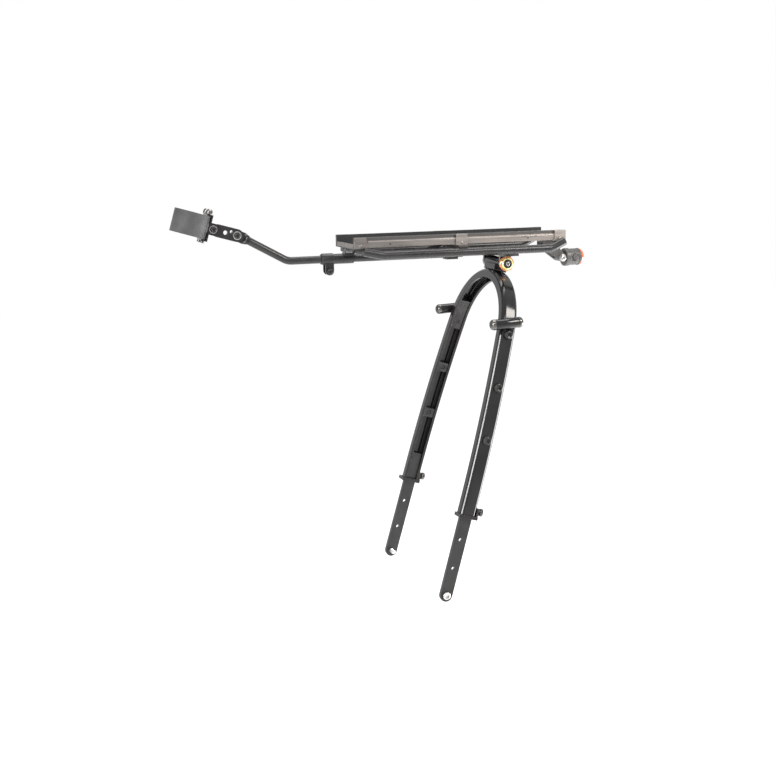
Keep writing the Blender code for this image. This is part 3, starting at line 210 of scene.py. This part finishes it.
def bright_steel():
    """Plated steel with fine turning lines."""
    shader = Shader("plated_steel", 1.0)
    shader.mottle((0.40, 0.392, 0.38), (0.60, 0.59, 0.575), 180.0)
    shader.sheen_spread(0.12, 0.30, 300.0)
    shader.grain(0.006 * MM, 2500.0, (1, 0.2, 1), 0.5)
    return shader.done()


def dark_chrome():
    """Smoked plating on the caps, pins and pivot bracket."""
    shader = Shader("smoked_chrome", 1.0)
    shader.mottle((0.045, 0.044, 0.044), (0.19, 0.18, 0.17), 75.0, (1, 2.5, 1))
    shader.sheen_spread(0.05, 0.17, 150.0)
    shader.grain(0.01 * MM, 900.0, strength=0.5)
    shader.worn((0.70, 0.69, 0.67), 0.25 * MM, 0.8, 500.0)
    return shader.done()


def deck_height(shader):
    """Height above the pivot along the deck's own up direction."""
    dot = shader.tree.nodes.new("ShaderNodeVectorMath")
    dot.operation = "DOT_PRODUCT"
    shader.tree.links.new(shader.coords.outputs["Object"], dot.inputs[0])
    dot.inputs[1].default_value = DECK_UP
    return shader.math("SUBTRACT", dot.outputs["Value"], PIVOT.dot(DECK_UP))


def satin_alloy(name, side=0):
    """Warm grey satin alloy with lengthwise lines and a painted light falloff that brightens it towards
    the rear; on a rail, faces turned inward go near black and less metallic, and a painted shade
    darkens the band above the step; on a plate, a painted shade darkens the part below the deck's
    underside.
    """
    shader = Shader(name, 0.82, Anisotropic=0.35)
    shader.mottle((0.265, 0.242, 0.228), (0.375, 0.347, 0.328), 26.0, (0.5, 1, 3))
    place = shader.add("ShaderNodeSeparateXYZ", Vector=shader.coords.outputs["Object"])
    # Painted light falloff: the colour is multiplied by a ramp along X, darker at the front and
    # brighter towards the rear, standing in for how the light falls along the deck.
    rearward = shader.span(place.outputs["X"], -0.10, 0.18)
    painted_light_falloff = shader.tint(rearward, (0.56, 0.555, 0.555), (1.25, 1.21, 1.17))
    blend = shader.tree.nodes.new("ShaderNodeMix")
    blend.data_type = "RGBA"
    blend.blend_type = "MULTIPLY"
    blend.inputs[0].default_value = 1.0
    shader.tree.links.new(shader.colour, blend.inputs[6])
    shader.tree.links.new(painted_light_falloff, blend.inputs[7])
    shader.colour = blend.outputs[2]
    lines = shader.noise(900.0, (0.02, 1, 1), 3.0)
    streaks = shader.span(lines, 0.40, 0.66, 0.0, 0.50)
    shader.colour = shader.tint(streaks, shader.colour, (0.12, 0.11, 0.105))
    shader.sheen_spread(0.30, 0.46, 120.0, (0.15, 1, 1))
    shader.bump(lines, 0.012 * MM, 0.45)
    if side:
        # Faces turned inward from the rail's side are made near black and less metallic.
        facing = shader.add("ShaderNodeSeparateXYZ", Vector=shader.coords.outputs["Normal"])
        outward = shader.math("MULTIPLY", facing.outputs["Y"], float(side))
        inner = shader.span(outward, 0.35, 0.15)
        # Painted shade: the set-back band above the step, from about 34.4 mm up the deck, is darkened
        # as if lying in shadow.
        step = shader.span(deck_height(shader), 33.9 * MM, 34.4 * MM, 0.0, 0.80)
        shader.colour = shader.tint(step, shader.colour, (0.075, 0.074, 0.073))
        shader.colour = shader.tint(inner, shader.colour, (0.016, 0.016, 0.0165))
        metal = shader.math("SUBTRACT", 0.82, shader.math("MULTIPLY", inner, 0.74))
        shader.tree.links.new(metal, shader.principled.inputs["Metallic"])
    else:
        # Painted shade: a plate goes near black below about 25.4 mm up the deck, where shade falls
        # under the deck.
        painted_underside_shade = shader.span(deck_height(shader), 25.9 * MM, 25.4 * MM, 0.0, 0.90)
        shader.colour = shader.tint(painted_underside_shade, shader.colour, (0.028, 0.0275, 0.027))
    shader.worn((0.66, 0.63, 0.60), 0.3 * MM, 0.7, 420.0)
    return shader.done()


def strap_rubber():
    """Matte moulded rubber with a fine pebble and a dusty bloom."""
    shader = Shader("strap_rubber", 0.0, IOR=1.5)
    shader.mottle((0.030, 0.030, 0.031), (0.052, 0.0515, 0.051), 55.0)
    shader.sheen_spread(0.52, 0.72, 90.0)
    shader.grain(0.03 * MM, 2300.0, strength=0.6, detail=4.0)
    shader.grain(0.05 * MM, 420.0, strength=0.35)
    shader.worn((0.20, 0.20, 0.20), 0.6 * MM, 0.6, 300.0)
    return shader.done()


def coloured_ring(name, dark, light):
    """Anodised colour on a turned ring, with concentric lines."""
    shader = Shader(name, 0.45, Coat_Weight=0.4, Coat_Roughness=0.08)
    shader.mottle(dark, light, 320.0)
    shader.sheen_spread(0.16, 0.30, 500.0)
    shader.grain(0.006 * MM, 2600.0, strength=0.5)
    return shader.done()


def light_plastic():
    """Spark-eroded dark grey moulding."""
    shader = Shader("light_housing_plastic", 0.0, IOR=1.49)
    shader.mottle((0.048, 0.046, 0.0445), (0.074, 0.071, 0.068), 70.0)
    shader.sheen_spread(0.36, 0.52, 130.0)
    shader.grain(0.02 * MM, 2600.0, strength=0.55, detail=4.0)
    shader.worn((0.22, 0.21, 0.20), 0.3 * MM, 0.5, 400.0)
    return shader.done()


def lens_red():
    """Red lens, clearer at its crown, with moulded ribs beneath a polished skin."""
    shader = Shader("lens_red_moulding", 0.0, IOR=1.49, Transmission_Weight=0.35, Coat_Weight=1.0,
                    Coat_Roughness=0.03)
    shader.mottle((0.62, 0.075, 0.022), (0.92, 0.20, 0.075), 150.0)
    shader.sheen_spread(0.12, 0.24, 200.0)
    ribs = shader.tree.nodes.new("ShaderNodeTexWave")
    ribs.bands_direction = "Z"
    ribs.inputs["Scale"].default_value = 130.0
    shader.tree.links.new(shader.coords.outputs["Object"], ribs.inputs["Vector"])
    shader.bump(ribs.outputs["Fac"], 0.25 * MM, 0.6)
    # Painted glow: a faint emission in the lens colour brightens the lens beyond what the lamps give
    # it.
    shader.principled.inputs["Emission Color"].default_value = (1.0, 0.22, 0.06, 1.0)
    shader.principled.inputs["Emission Strength"].default_value = 0.12
    return shader.done()


FINISH = {
    "gloss": gloss_black(),
    "satin": satin_black(),
    "dull": satin_black("dull_black_blade", 0.34, 0.48),
    "bolt": black_steel(),
    "steel": bright_steel(),
    "chrome": dark_chrome(),
    "plate": satin_alloy("satin_plate_alloy"),
    "left_rail": satin_alloy("satin_rail_alloy_left", -1),
    "right_rail": satin_alloy("satin_rail_alloy_right", 1),
    "rubber": strap_rubber(),
    "yellow": coloured_ring("yellow_ring_anodised", (0.78, 0.66, 0.20), (0.93, 0.86, 0.42)),
    "orange": coloured_ring("orange_rim_anodised", (0.58, 0.17, 0.05), (0.86, 0.40, 0.17)),
    "plastic": light_plastic(),
    "lens": lens_red(),
}

NODE_FINISH = {
    "gloss": ["arch_saddle", "left_peg", "right_peg", "left_collar", "right_collar", "clamp_bracket"],
    "chrome": ["pivot_bracket", "left_strap_pin", "right_strap_pin", "left_thumb_screw",
               "right_thumb_screw"],
    "satin": ["left_side_tube", "right_side_tube", "arm_sleeve", "sleeve_clamp", "arm_tube",
              "link_plate"],
    "dull": ["left_blade", "right_blade"],
    "bolt": ["saddle_bolt", "left_splice_block", "right_splice_block", "left_nut_pad_1",
             "left_nut_pad_2", "right_nut_pad_1", "right_nut_pad_2"],
    "steel": ["pivot_pin", "pivot_washer"],
    "plate": ["front_plate", "middle_plate", "rear_plate"],
    "left_rail": ["left_rail"],
    "right_rail": ["right_rail"],
    "rubber": ["seatpost_strap"],
    "yellow": ["pivot_ring"],
    "orange": ["pivot_rim"],
    "plastic": ["light_bracket", "light_mount", "light_body"],
}

# How far a node's edges are rounded, in millimetres, by its finish.
EDGE_ROUNDING = {
    "gloss": 0.35, "chrome": 0.25, "satin": 0.35, "dull": 0.5, "bolt": 0.3, "steel": 0.25,
    "plate": 0.3, "left_rail": 0.3, "right_rail": 0.3, "rubber": 0.7, "yellow": 0.2,
    "orange": 0.25, "plastic": 0.4,
}


# ---------------------------------------------------------------- mesh helpers

def soften(obj, width):
    """Merge a CAD node's facets, round its edges and shade it smooth, by modifiers only."""
    mesh = obj.data
    if "custom_normal" in mesh.attributes:
        mesh.attributes.remove(mesh.attributes["custom_normal"])
    if "sharp_edge" in mesh.attributes:
        mesh.attributes.remove(mesh.attributes["sharp_edge"])
    mesh.shade_smooth()
    weld = obj.modifiers.new("weld", "WELD")
    weld.merge_threshold = 2e-6
    flat = obj.modifiers.new("flat", "DECIMATE")
    flat.decimate_type = "DISSOLVE"
    flat.angle_limit = radians(0.6)
    edge = obj.modifiers.new("edge", "BEVEL")
    edge.width = width
    edge.segments = 2
    edge.limit_method = "ANGLE"
    edge.angle_limit = radians(31)
    edge.harden_normals = True
    edge.miter_outer = "MITER_ARC"


def new_piece(name, bm, finish, body, replaces=()):
    """Finish a bmesh as a piece that rides on a CAD body."""
    bmesh.ops.recalc_face_normals(bm, faces=bm.faces)
    mesh = bpy.data.meshes.new(name)
    bm.to_mesh(mesh)
    bm.free()
    mesh.shade_smooth()
    mesh.set_sharp_from_angle(angle=radians(34))
    mesh.materials.append(FINISH[finish])
    obj = bpy.data.objects.new(name, mesh)
    bpy.context.collection.objects.link(obj)
    weighted = obj.modifiers.new("weighted", "WEIGHTED_NORMAL")
    weighted.keep_sharp = True
    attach(obj, body)
    if replaces:
        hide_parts(*replaces)
    return obj


def lathe(bm, profile, place, sides=48):
    """Turn a profile about Z; a point is (radius, height), with 'hex' after it for a hexagon."""
    rings = []
    for point in profile:
        radius, height = point[0], point[1]
        ring = []
        for k in range(sides):
            turn = 2 * pi * k / sides
            reach = radius
            if len(point) > 2:
                reach = radius * cos(pi / 6) / cos((turn % (pi / 3)) - pi / 6)
            ring.append(bm.verts.new(place @ Vector((reach * cos(turn), reach * sin(turn), height))))
        rings.append(ring)
    for low, high in zip(rings, rings[1:]):
        for k in range(sides):
            n = (k + 1) % sides
            bm.faces.new((low[k], low[n], high[n], high[k]))
    bm.faces.new(list(reversed(rings[0])))
    bm.faces.new(rings[-1])


def lathe_ring(bm, profile, place, sides):
    """Turn a closed profile about Z."""
    rings = []
    for k in range(sides):
        turn = 2 * pi * k / sides
        spots = [Vector((radius * cos(turn), radius * sin(turn), height)) for radius, height in profile]
        rings.append([bm.verts.new(place @ spot) for spot in spots])
    for k in range(sides):
        low, high = rings[k], rings[(k + 1) % sides]
        for m in range(len(profile)):
            n = (m + 1) % len(profile)
            bm.faces.new((low[m], low[n], high[n], high[m]))


def turned_place(node, outward=None):
    """(matrix, radius, low, high): a turned node's own frame, +Z out of its wider end or outward."""
    points = np.unique(np.array([v.co for v in NODES[node].data.vertices]).round(7), axis=0)
    middle = points.mean(0)
    values, vectors = np.linalg.eigh(np.cov((points - middle).T))
    apart = [abs(values[1] - values[2]), abs(values[0] - values[2]), abs(values[0] - values[1])]
    axis = Vector(outward or vectors[:, int(np.argmin(apart))])
    along = (points - middle) @ np.array(axis)
    radii = np.linalg.norm(points - middle - np.outer(along, axis), axis=1)
    head = along[radii > 0.9 * radii.max()].mean()
    if not outward and head < (along.min() + along.max()) / 2:
        axis, along = -axis, -along
    turn = axis.to_track_quat("Z", "Y").to_matrix().to_4x4()
    return Matrix.Translation(Vector(middle)) @ turn, radii.max(), along.min(), along.max()


def body_of(node):
    """The body that lists a node."""
    for body, nodes in frame["record"]["behaviour"]["bodies"].items():
        if node in nodes:
            return body
    raise KeyError(node)


# ---------------------------------------------------------------- fasteners

THREAD_PITCH = 0.8 * MM
SHANK = 2.5 * MM
BUTTON_HEAD = 2.6 * MM
LEG_BOLT_HEAD = 3.6 * MM
EYELET_SHANK = 2.6 * MM
EYELET_HEAD = 2.8 * MM
WASHER = 0.5 * MM


def socket_screw(node, finish, shank, head, dome):
    """A button-head socket screw in place of a plain turned node, with a rolled thread."""
    place, radius, low, high = turned_place(node)
    seat = high - head
    key = radius * 0.50
    profile = [(shank * 0.7, low), (shank, low + 0.5 * MM)]
    threads = max(2, int((seat - low - 2 * THREAD_PITCH) / THREAD_PITCH))
    for k in range(threads):
        level = low + 0.6 * MM + k * THREAD_PITCH
        profile += [(shank, level), (shank, level + 0.15 * MM), (shank * 0.86, level + 0.4 * MM)]
        profile += [(shank, level + 0.65 * MM)]
    profile += [(shank, seat), (radius - 0.15 * MM, seat), (radius, seat + 0.2 * MM)]
    for k in range(7):
        turn = radians(90) * k / 6
        rise = seat + 0.3 * head + (0.7 * head) * sin(turn)
        profile.append((radius - (radius - key * 1.3) * dome * (1 - cos(turn)), rise))
    profile += [(key * 1.18, high), (key * 1.02, high - 0.25 * MM)]
    profile += [(key, high - 0.3 * MM, "hex"), (key, high - 0.72 * head, "hex")]
    profile += [(key * 0.55, high - 0.80 * head)]
    bm = bmesh.new()
    lathe(bm, profile, place)
    new_piece(node + "_detailed", bm, finish, body_of(node), [node])


def washer_under(node, grow):
    """A thin bright washer seen as a rim round a screw's head."""
    place, radius, _, high = turned_place(node)
    seat = high - BUTTON_HEAD
    outer = radius * grow
    profile = [(radius * 0.8, seat), (outer - 0.1 * MM, seat), (outer, seat + WASHER * 0.5)]
    profile += [(outer - 0.15 * MM, seat + WASHER), (radius * 0.8, seat + WASHER)]
    bm = bmesh.new()
    lathe(bm, profile, place)
    new_piece(node + "_washer", bm, "steel", body_of(node))


def build_pivot_cap(node, outward, finish):
    """Hub cap with a turned groove, and a small hexagon screw in a bright ring at its middle."""
    place, radius, low, high = turned_place(node, outward)
    face = high - 0.5 * MM
    profile = [(radius * 0.9, low), (radius, low + 0.3 * MM), (radius, high - 0.7 * MM)]
    profile += [(radius - 0.25 * MM, high - 0.25 * MM), (radius - 0.7 * MM, high)]
    profile += [(radius * 0.74, high)]
    profile += [(radius * 0.70, face), (radius * 0.50, face), (radius * 0.40, face - 0.1 * MM)]
    bm = bmesh.new()
    lathe(bm, profile, place, 64)
    new_piece(node + "_detailed", bm, finish, "deck", [node])
    ring = radius * 0.48
    profile = [(ring * 0.9, face - 0.4 * MM), (ring, face), (ring, face + 0.3 * MM)]
    profile += [(ring * 0.9, face + 0.42 * MM), (ring * 0.72, face + 0.42 * MM)]
    profile += [(ring * 0.66, face + 0.2 * MM)]
    profile += [(ring * 0.52, face + 0.2 * MM, "hex"), (ring * 0.50, face - 0.6 * MM, "hex")]
    profile += [(ring * 0.2, face - 0.8 * MM)]
    bm = bmesh.new()
    lathe(bm, profile, place, 48)
    new_piece(node + "_screw", bm, "steel", "deck")


def build_fasteners():
    """Every screw with its socket."""
    for side in ("left", "right"):
        for index in (1, 2, 3):
            node = f"{side}_leg_bolt_{index}"
            socket_screw(node, "bolt", SHANK, LEG_BOLT_HEAD, 0.85)
        socket_screw(side + "_eyelet_bolt", "steel", EYELET_SHANK, EYELET_HEAD, 0.9)
    for side, outward, finish in (("left", (0, -1, 0), "bolt"), ("right", (0, 1, 0), "chrome")):
        build_pivot_cap(side + "_pivot_cap", outward, finish)
    for node in ("link_bolt", "clevis_bolt", "sleeve_clamp_bolt"):
        socket_screw(node, "bolt", SHANK, BUTTON_HEAD, 0.8)
    socket_screw("light_bolt", "steel", SHANK, BUTTON_HEAD, 0.8)
    for node, grow in (("link_bolt", 1.22), ("clevis_bolt", 1.15), ("light_bolt", 1.2)):
        washer_under(node, grow)


# ---------------------------------------------------------------- legs and arch

LEAN = Matrix.Rotation(radians(15.1), 4, "Y")
HALF_SPREAD = 97.5 * MM
TOE_IN = radians(1.0)
STRAIGHT = 115.0 * MM
ARCH_RADIUS = 76.0 * MM
ARCH_START = radians(10.7)
LEG_BOTTOM = 96.0 * MM
SPLICE = 323.4 * MM
HALF_SPLICE_GAP = 0.03 * MM
LEG_STEPS = 40
ARCH_STEPS = 96
CORNER_STEPS = 6
HALF_WIDTH, HALF_DEPTH, WALL, BEVEL, LIP = 10.0 * MM, 6.0 * MM, 2.0 * MM, 3.2 * MM, 1.2 * MM
LONG_BEND = HALF_SPREAD - STRAIGHT * tan(TOE_IN) - ARCH_RADIUS * cos(ARCH_START)
LONG_BEND /= cos(TOE_IN) - cos(ARCH_START)
LEG_TOP = STRAIGHT + LONG_BEND * (sin(ARCH_START) - sin(TOE_IN))
ARCH_CENTRE = LEG_TOP - ARCH_RADIUS * sin(ARCH_START)


def rounded_outline(corners):
    """Closed outline of (x, y, radius) corners with each corner drawn as a short curve."""
    points = []
    for k, (x, y, radius) in enumerate(corners):
        corner = Vector((x, y))
        ends = []
        for other in (corners[k - 1], corners[(k + 1) % len(corners)]):
            way = Vector(other[:2]) - corner
            ends.append(corner + way.normalized() * min(radius, way.length * 0.45))
        for step in range(CORNER_STEPS + 1):
            u = step / CORNER_STEPS
            points.append(ends[0] * (1 - u) ** 2 + corner * 2 * u * (1 - u) + ends[1] * u * u)
    return points


def channel_outline():
    """The legs' channel section with softened corners, as (across, outward) points."""
    mouth = HALF_WIDTH - WALL - LIP
    right = [
        (HALF_WIDTH - BEVEL, HALF_DEPTH, 1.7 * MM), (HALF_WIDTH, HALF_DEPTH - BEVEL, 1.5 * MM),
        (HALF_WIDTH, -HALF_DEPTH, 0.5 * MM), (mouth, -HALF_DEPTH, 0.3 * MM),
        (mouth, -HALF_DEPTH + LIP, 0.3 * MM), (HALF_WIDTH - WALL, -HALF_DEPTH + LIP, 0.2 * MM),
        (HALF_WIDTH - WALL, HALF_DEPTH - BEVEL - 0.6 * WALL, 0.5 * MM),
        (HALF_WIDTH - BEVEL - 0.6 * WALL, HALF_DEPTH - WALL, 0.5 * MM),
    ]
    return rounded_outline(right + [(-x, y, radius) for x, y, radius in reversed(right)])


def swept(stations):
    """A channel swept through a list of frames."""
    bm = bmesh.new()
    outline = channel_outline()
    rings = []
    for place in stations:
        rings.append([bm.verts.new(LEAN @ place @ Vector((a, o, 0))) for a, o in outline])
    for low, high in zip(rings, rings[1:]):
        for k in range(len(outline)):
            n = (k + 1) % len(outline)
            bm.faces.new((low[k], low[n], high[n], high[k]))
    bm.faces.new(rings[0])
    bm.faces.new(list(reversed(rings[-1])))
    return bm


def leg_frame(side, height):
    """Channel frame on a leg: X across, Y outward, Z along it."""
    offset, tilt = HALF_SPREAD - min(height, STRAIGHT) * tan(TOE_IN), TOE_IN
    if height > STRAIGHT:
        tilt = asin(min(sin(TOE_IN) + (height - STRAIGHT) / LONG_BEND, sin(ARCH_START)))
        offset -= LONG_BEND * (cos(TOE_IN) - cos(tilt))
    if height > LEG_TOP:
        tilt = ARCH_START + (height - LEG_TOP) / ARCH_RADIUS
        offset, height = ARCH_RADIUS * cos(tilt), ARCH_CENTRE + ARCH_RADIUS * sin(tilt)
    place = Matrix.Translation((0, side * offset, height)) @ Matrix.Rotation(side * tilt, 4, "X")
    return place @ Matrix.Diagonal((1, side, 1, 1))


def build_legs_and_arch():
    """Smoothly bent channels in place of the faceted ones."""
    top = SPLICE - HALF_SPLICE_GAP
    for side, label in ((-1, "left"), (1, "right")):
        heights = [STRAIGHT + (top - STRAIGHT) * k / LEG_STEPS for k in range(LEG_STEPS + 1)]
        bm = swept([leg_frame(side, height) for height in [LEG_BOTTOM] + heights])
        replaced = [label + "_leg"]
        new_piece(label + "_leg_bent", bm, "gloss", "legs_and_arch", replaced)
    start = ARCH_START + (SPLICE + HALF_SPLICE_GAP - LEG_TOP) / ARCH_RADIUS
    stations = []
    for k in range(ARCH_STEPS + 1):
        turn = start + (pi - 2 * start) * k / ARCH_STEPS
        middle = Vector((0, ARCH_RADIUS * cos(turn), ARCH_CENTRE + ARCH_RADIUS * sin(turn)))
        stations.append(Matrix.Translation(middle) @ Matrix.Rotation(turn, 4, "X"))
    new_piece("arch_bent", swept(stations), "gloss", "legs_and_arch", ["arch"])


# ---------------------------------------------------------------- pegs, light, deck

PEG_CAP_RADIUS = 6.35 * MM
PEG_DOME = 4.0 * MM
LENS_RADIUS = 10.2 * MM
LENS_BULGE = 6.3 * MM
RIVET_X = (-186.7, -61.3, 67.3)                                     # along the deck, millimetres
RIVET_OUT, RIVET_HEIGHT = 36.6 * MM, 28.6 * MM
EYELET_SPOTS = ((25.0, 30.5), (-150.0, 30.0), (-178.0, 33.0))       # along and up, millimetres
RAIL_FACE = 34.5 * MM
CHEEK_FACES = (5.05 * MM, 5.5 * MM)


def facing(spot, outward):
    """Frame at a spot with +Z pointing outward."""
    return Matrix.Translation(spot) @ outward.to_track_quat("Z", "Y").to_matrix().to_4x4()


def build_peg_caps():
    """Domed end caps on each peg."""
    for side in ("left", "right"):
        low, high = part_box(side + "_peg")
        points = np.array([v.co for v in NODES[side + "_peg"].data.vertices])
        front = Vector(points[points[:, 0] < low.x + 0.4 * MM].mean(0))
        rear = Vector(points[points[:, 0] > high.x - 0.4 * MM].mean(0))
        axis = (rear - front).normalized()
        for end, outward, label in ((front, -axis, "front"), (rear, axis, "rear")):
            radius = PEG_CAP_RADIUS
            profile = [(radius * 0.9, -5.6 * MM), (radius, -5.3 * MM), (radius, -4.4 * MM)]
            for k in range(9):
                angle = radians(88) * k / 8
                level = -PEG_DOME + PEG_DOME * sin(angle)
                profile.append((radius * (0.28 + 0.72 * cos(angle)), level))
            profile += [(radius * 0.2, -0.25 * MM), (radius * 0.12, -0.9 * MM)]
            bm = bmesh.new()
            lathe(bm, profile, facing(end, outward), 56)
            new_piece(f"{side}_peg_cap_{label}", bm, "chrome", "legs_and_arch")


def build_light_details():
    """Domed lens and two bands on the tail light."""
    low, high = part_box("light_lens")
    local = DECK.inverted() @ ((low + high) / 2)
    start = (DECK.inverted() @ Vector((low.x, 0, (low.z + high.z) / 2))).x
    axis = DECK @ Matrix.Translation((start, 0, local.z)) @ Matrix.Rotation(pi / 2, 4, "Y")
    radius = LENS_RADIUS
    profile = [(radius * 0.92, 0.0), (radius, 0.3 * MM)]
    for k in range(1, 13):
        turn = radians(84) * k / 12
        bulge = LENS_BULGE * sin(turn)
        profile.append((radius * (0.06 + 0.94 * cos(turn)), 0.3 * MM + bulge))
    bm = bmesh.new()
    lathe(bm, profile, axis, 64)
    new_piece("light_lens_dome", bm, "lens", "tail_light", ["light_lens"])
    for k, offset in enumerate((-1.4 * MM, -15.0 * MM)):
        ring = [(radius - 0.5 * MM, offset - 0.7 * MM), (radius + 0.35 * MM, offset - 0.5 * MM)]
        ring += [(radius + 0.35 * MM, offset + 0.5 * MM), (radius - 0.5 * MM, offset + 0.7 * MM)]
        bm = bmesh.new()
        lathe(bm, ring, axis, 64)
        new_piece(f"light_grip_band_{k + 1}", bm, "plastic", "tail_light")


def build_button():
    """Dished push button, and the ring round it on the light's body."""
    place, radius, low, high = turned_place("light_button")
    profile = [(radius * 0.85, low), (radius, low + 0.2 * MM), (radius, high - 0.7 * MM)]
    profile += [(radius * 0.93, high - 0.3 * MM), (radius * 0.80, high - 0.05 * MM)]
    profile += [(radius * 0.70, high)]
    profile += [(radius * 0.62, high - 0.1 * MM), (radius * 0.58, high - 0.45 * MM)]
    profile += [(radius * 0.45, high - 0.5 * MM), (radius * 0.36, high - 0.25 * MM)]
    profile += [(radius * 0.1, high - 0.15 * MM)]
    bm = bmesh.new()
    lathe(bm, profile, place, 48)
    new_piece("light_button_cap", bm, "plastic", "push_button", ["light_button"])
    level = high - 0.35 * MM
    foot, shoulder = level - 0.8 * MM, level - 0.2 * MM
    profile = [(radius * 1.12, foot), (radius * 1.42, foot), (radius * 1.42, shoulder)]
    profile += [(radius * 1.34, level), (radius * 1.18, level), (radius * 1.12, shoulder)]
    bm = bmesh.new()
    lathe_ring(bm, profile, place, 64)
    new_piece("light_button_ring", bm, "chrome", "tail_light")


def build_deck_details():
    """Rivets in the plates' tabs, eyelets in the rails and cheeks on the sleeve's hanger."""
    for side, label in ((-1, "left"), (1, "right")):
        outward = Vector((0, side, 0))
        for k, x in enumerate(RIVET_X):
            spot = DECK @ Vector((x * MM, side * RIVET_OUT, RIVET_HEIGHT))
            profile = [(1.7 * MM, -0.2 * MM), (1.7 * MM, 0.05 * MM), (1.45 * MM, 0.32 * MM)]
            profile += [(0.9 * MM, 0.45 * MM), (0.55 * MM, 0.46 * MM), (0.45 * MM, 0.2 * MM)]
            bm = bmesh.new()
            lathe(bm, profile, facing(spot, outward), 32)
            new_piece(f"{label}_tab_rivet_{k + 1}", bm, "plate", "deck")
        for k, (x, height) in enumerate(EYELET_SPOTS):
            spot = DECK @ Vector((x * MM, side * RAIL_FACE, height * MM))
            ring = [(0.55 * MM, -0.3 * MM), (1.15 * MM, -0.3 * MM), (1.15 * MM, 0.10 * MM)]
            ring += [(1.0 * MM, 0.18 * MM), (0.65 * MM, 0.14 * MM), (0.55 * MM, 0.0)]
            bm = bmesh.new()
            lathe_ring(bm, ring, facing(spot, outward), 28)
            new_piece(f"{label}_rail_eyelet_{k + 1}", bm, "bolt", "deck")
    build_hanger_cheeks()


def build_hanger_cheeks():
    """Bright folded cheeks on both sides of the sleeve's hanger."""
    outline = [(-195.2, 19.4, 0.6), (-186.4, 19.4, 0.6), (-183.6, 24.4, 0.6), (-193.6, 24.4, 0.6)]
    points = rounded_outline([(x * MM, z * MM, radius * MM) for x, z, radius in outline])
    for side, label in ((-1, "left"), (1, "right")):
        bm = bmesh.new()
        faces = []
        for y in CHEEK_FACES:
            faces.append([bm.verts.new(DECK @ Vector((x, side * y, z))) for x, z in points])
        for k in range(len(points)):
            n = (k + 1) % len(points)
            bm.faces.new((faces[0][k], faces[0][n], faces[1][n], faces[1][k]))
        bm.faces.new(faces[0])
        bm.faces.new(list(reversed(faces[1])))
        new_piece(label + "_hanger_cheek", bm, "steel", "deck")


def dress_nodes():
    """Every CAD node that shows gets its finish and rounded edges."""
    for finish, names in NODE_FINISH.items():
        for name in names:
            obj = NODES[name]
            obj.data.materials.clear()
            obj.data.materials.append(FINISH[finish])
            soften(obj, EDGE_ROUNDING[finish] * MM)


# ---------------------------------------------------------------- studio

FLOOR_HEIGHT = -0.352                  # metres, below the axle line
CAMERA_PLACE = (-0.5599, -1.4820, 0.5087)
CAMERA_FORWARD = Vector((0.32718, 0.92910, -0.17240))
LENS_MM, SENSOR_MM = 61.4, 36.0
NEAR_LEG = (0.06, -0.09, 0.25)


def area_light(name, place, aim, size, power, colour=(1, 1, 1)):
    """A soft box that points at a spot and doesn't show itself."""
    light = bpy.data.lights.new(name, "AREA")
    light.shape = "RECTANGLE"
    light.size, light.size_y = size
    light.energy = power
    light.color = colour
    obj = bpy.data.objects.new(name, light)
    obj.location = place
    obj.rotation_euler = (Vector(aim) - Vector(place)).to_track_quat("-Z", "Y").to_euler()
    obj.visible_camera = False
    bpy.context.collection.objects.link(obj)


def build_studio():
    """Pale floor, white surroundings, soft boxes and the camera."""
    world = bpy.data.worlds.new("studio")
    world.use_nodes = True
    world.node_tree.nodes["Background"].inputs["Color"].default_value = (1.0, 1.0, 1.0, 1.0)
    world.node_tree.nodes["Background"].inputs["Strength"].default_value = 1.0
    bpy.context.scene.world = world
    bm = bmesh.new()
    bmesh.ops.create_grid(bm, x_segments=8, y_segments=8, size=6.0)
    mesh = bpy.data.meshes.new("studio_floor")
    bm.to_mesh(mesh)
    bm.free()
    floor = bpy.data.objects.new("studio_floor", mesh)
    floor.location = (0, 0, FLOOR_HEIGHT)
    paint = Shader("floor_paper", 0.0, Roughness=0.9)
    paint.mottle((0.955, 0.955, 0.955), (0.97, 0.97, 0.97), 1.2)
    paint.principled.inputs["Emission Color"].default_value = (1.0, 1.0, 1.0, 1.0)
    paint.principled.inputs["Emission Strength"].default_value = 0.06
    mesh.materials.append(paint.done())
    bpy.context.collection.objects.link(floor)
    area_light("left_strip", (-1.66, -0.93, 0.88), NEAR_LEG, (0.20, 1.35), 24)
    area_light("right_strip", (0.99, -0.17, -0.03), (0.06, -0.09, 0.20), (0.65, 0.55), 16)
    area_light("patch_card", (0.81, -0.91, 1.14), (0.085, -0.085, 0.335), (0.45, 0.40), 13,
               (1.0, 0.95, 0.90))
    area_light("front_box", (-0.5, -1.9, 1.9), (0, 0, 0.3), (1.0, 0.5), 14)
    area_light("top_box", (0.1, 0.3, 2.0), (0.05, 0, 0.3), (1.4, 0.8), 18)
    camera = bpy.data.cameras.new("camera")
    camera.lens = LENS_MM
    camera.sensor_width = SENSOR_MM
    obj = bpy.data.objects.new("camera", camera)
    obj.location = CAMERA_PLACE
    obj.rotation_euler = CAMERA_FORWARD.to_track_quat("-Z", "Y").to_euler()
    bpy.context.collection.objects.link(obj)
    bpy.context.scene.camera = obj
    bpy.context.scene.view_settings.view_transform = "Standard"


dress_nodes()
build_legs_and_arch()
build_fasteners()
build_peg_caps()
build_light_details()
build_button()
build_deck_details()
build_studio()
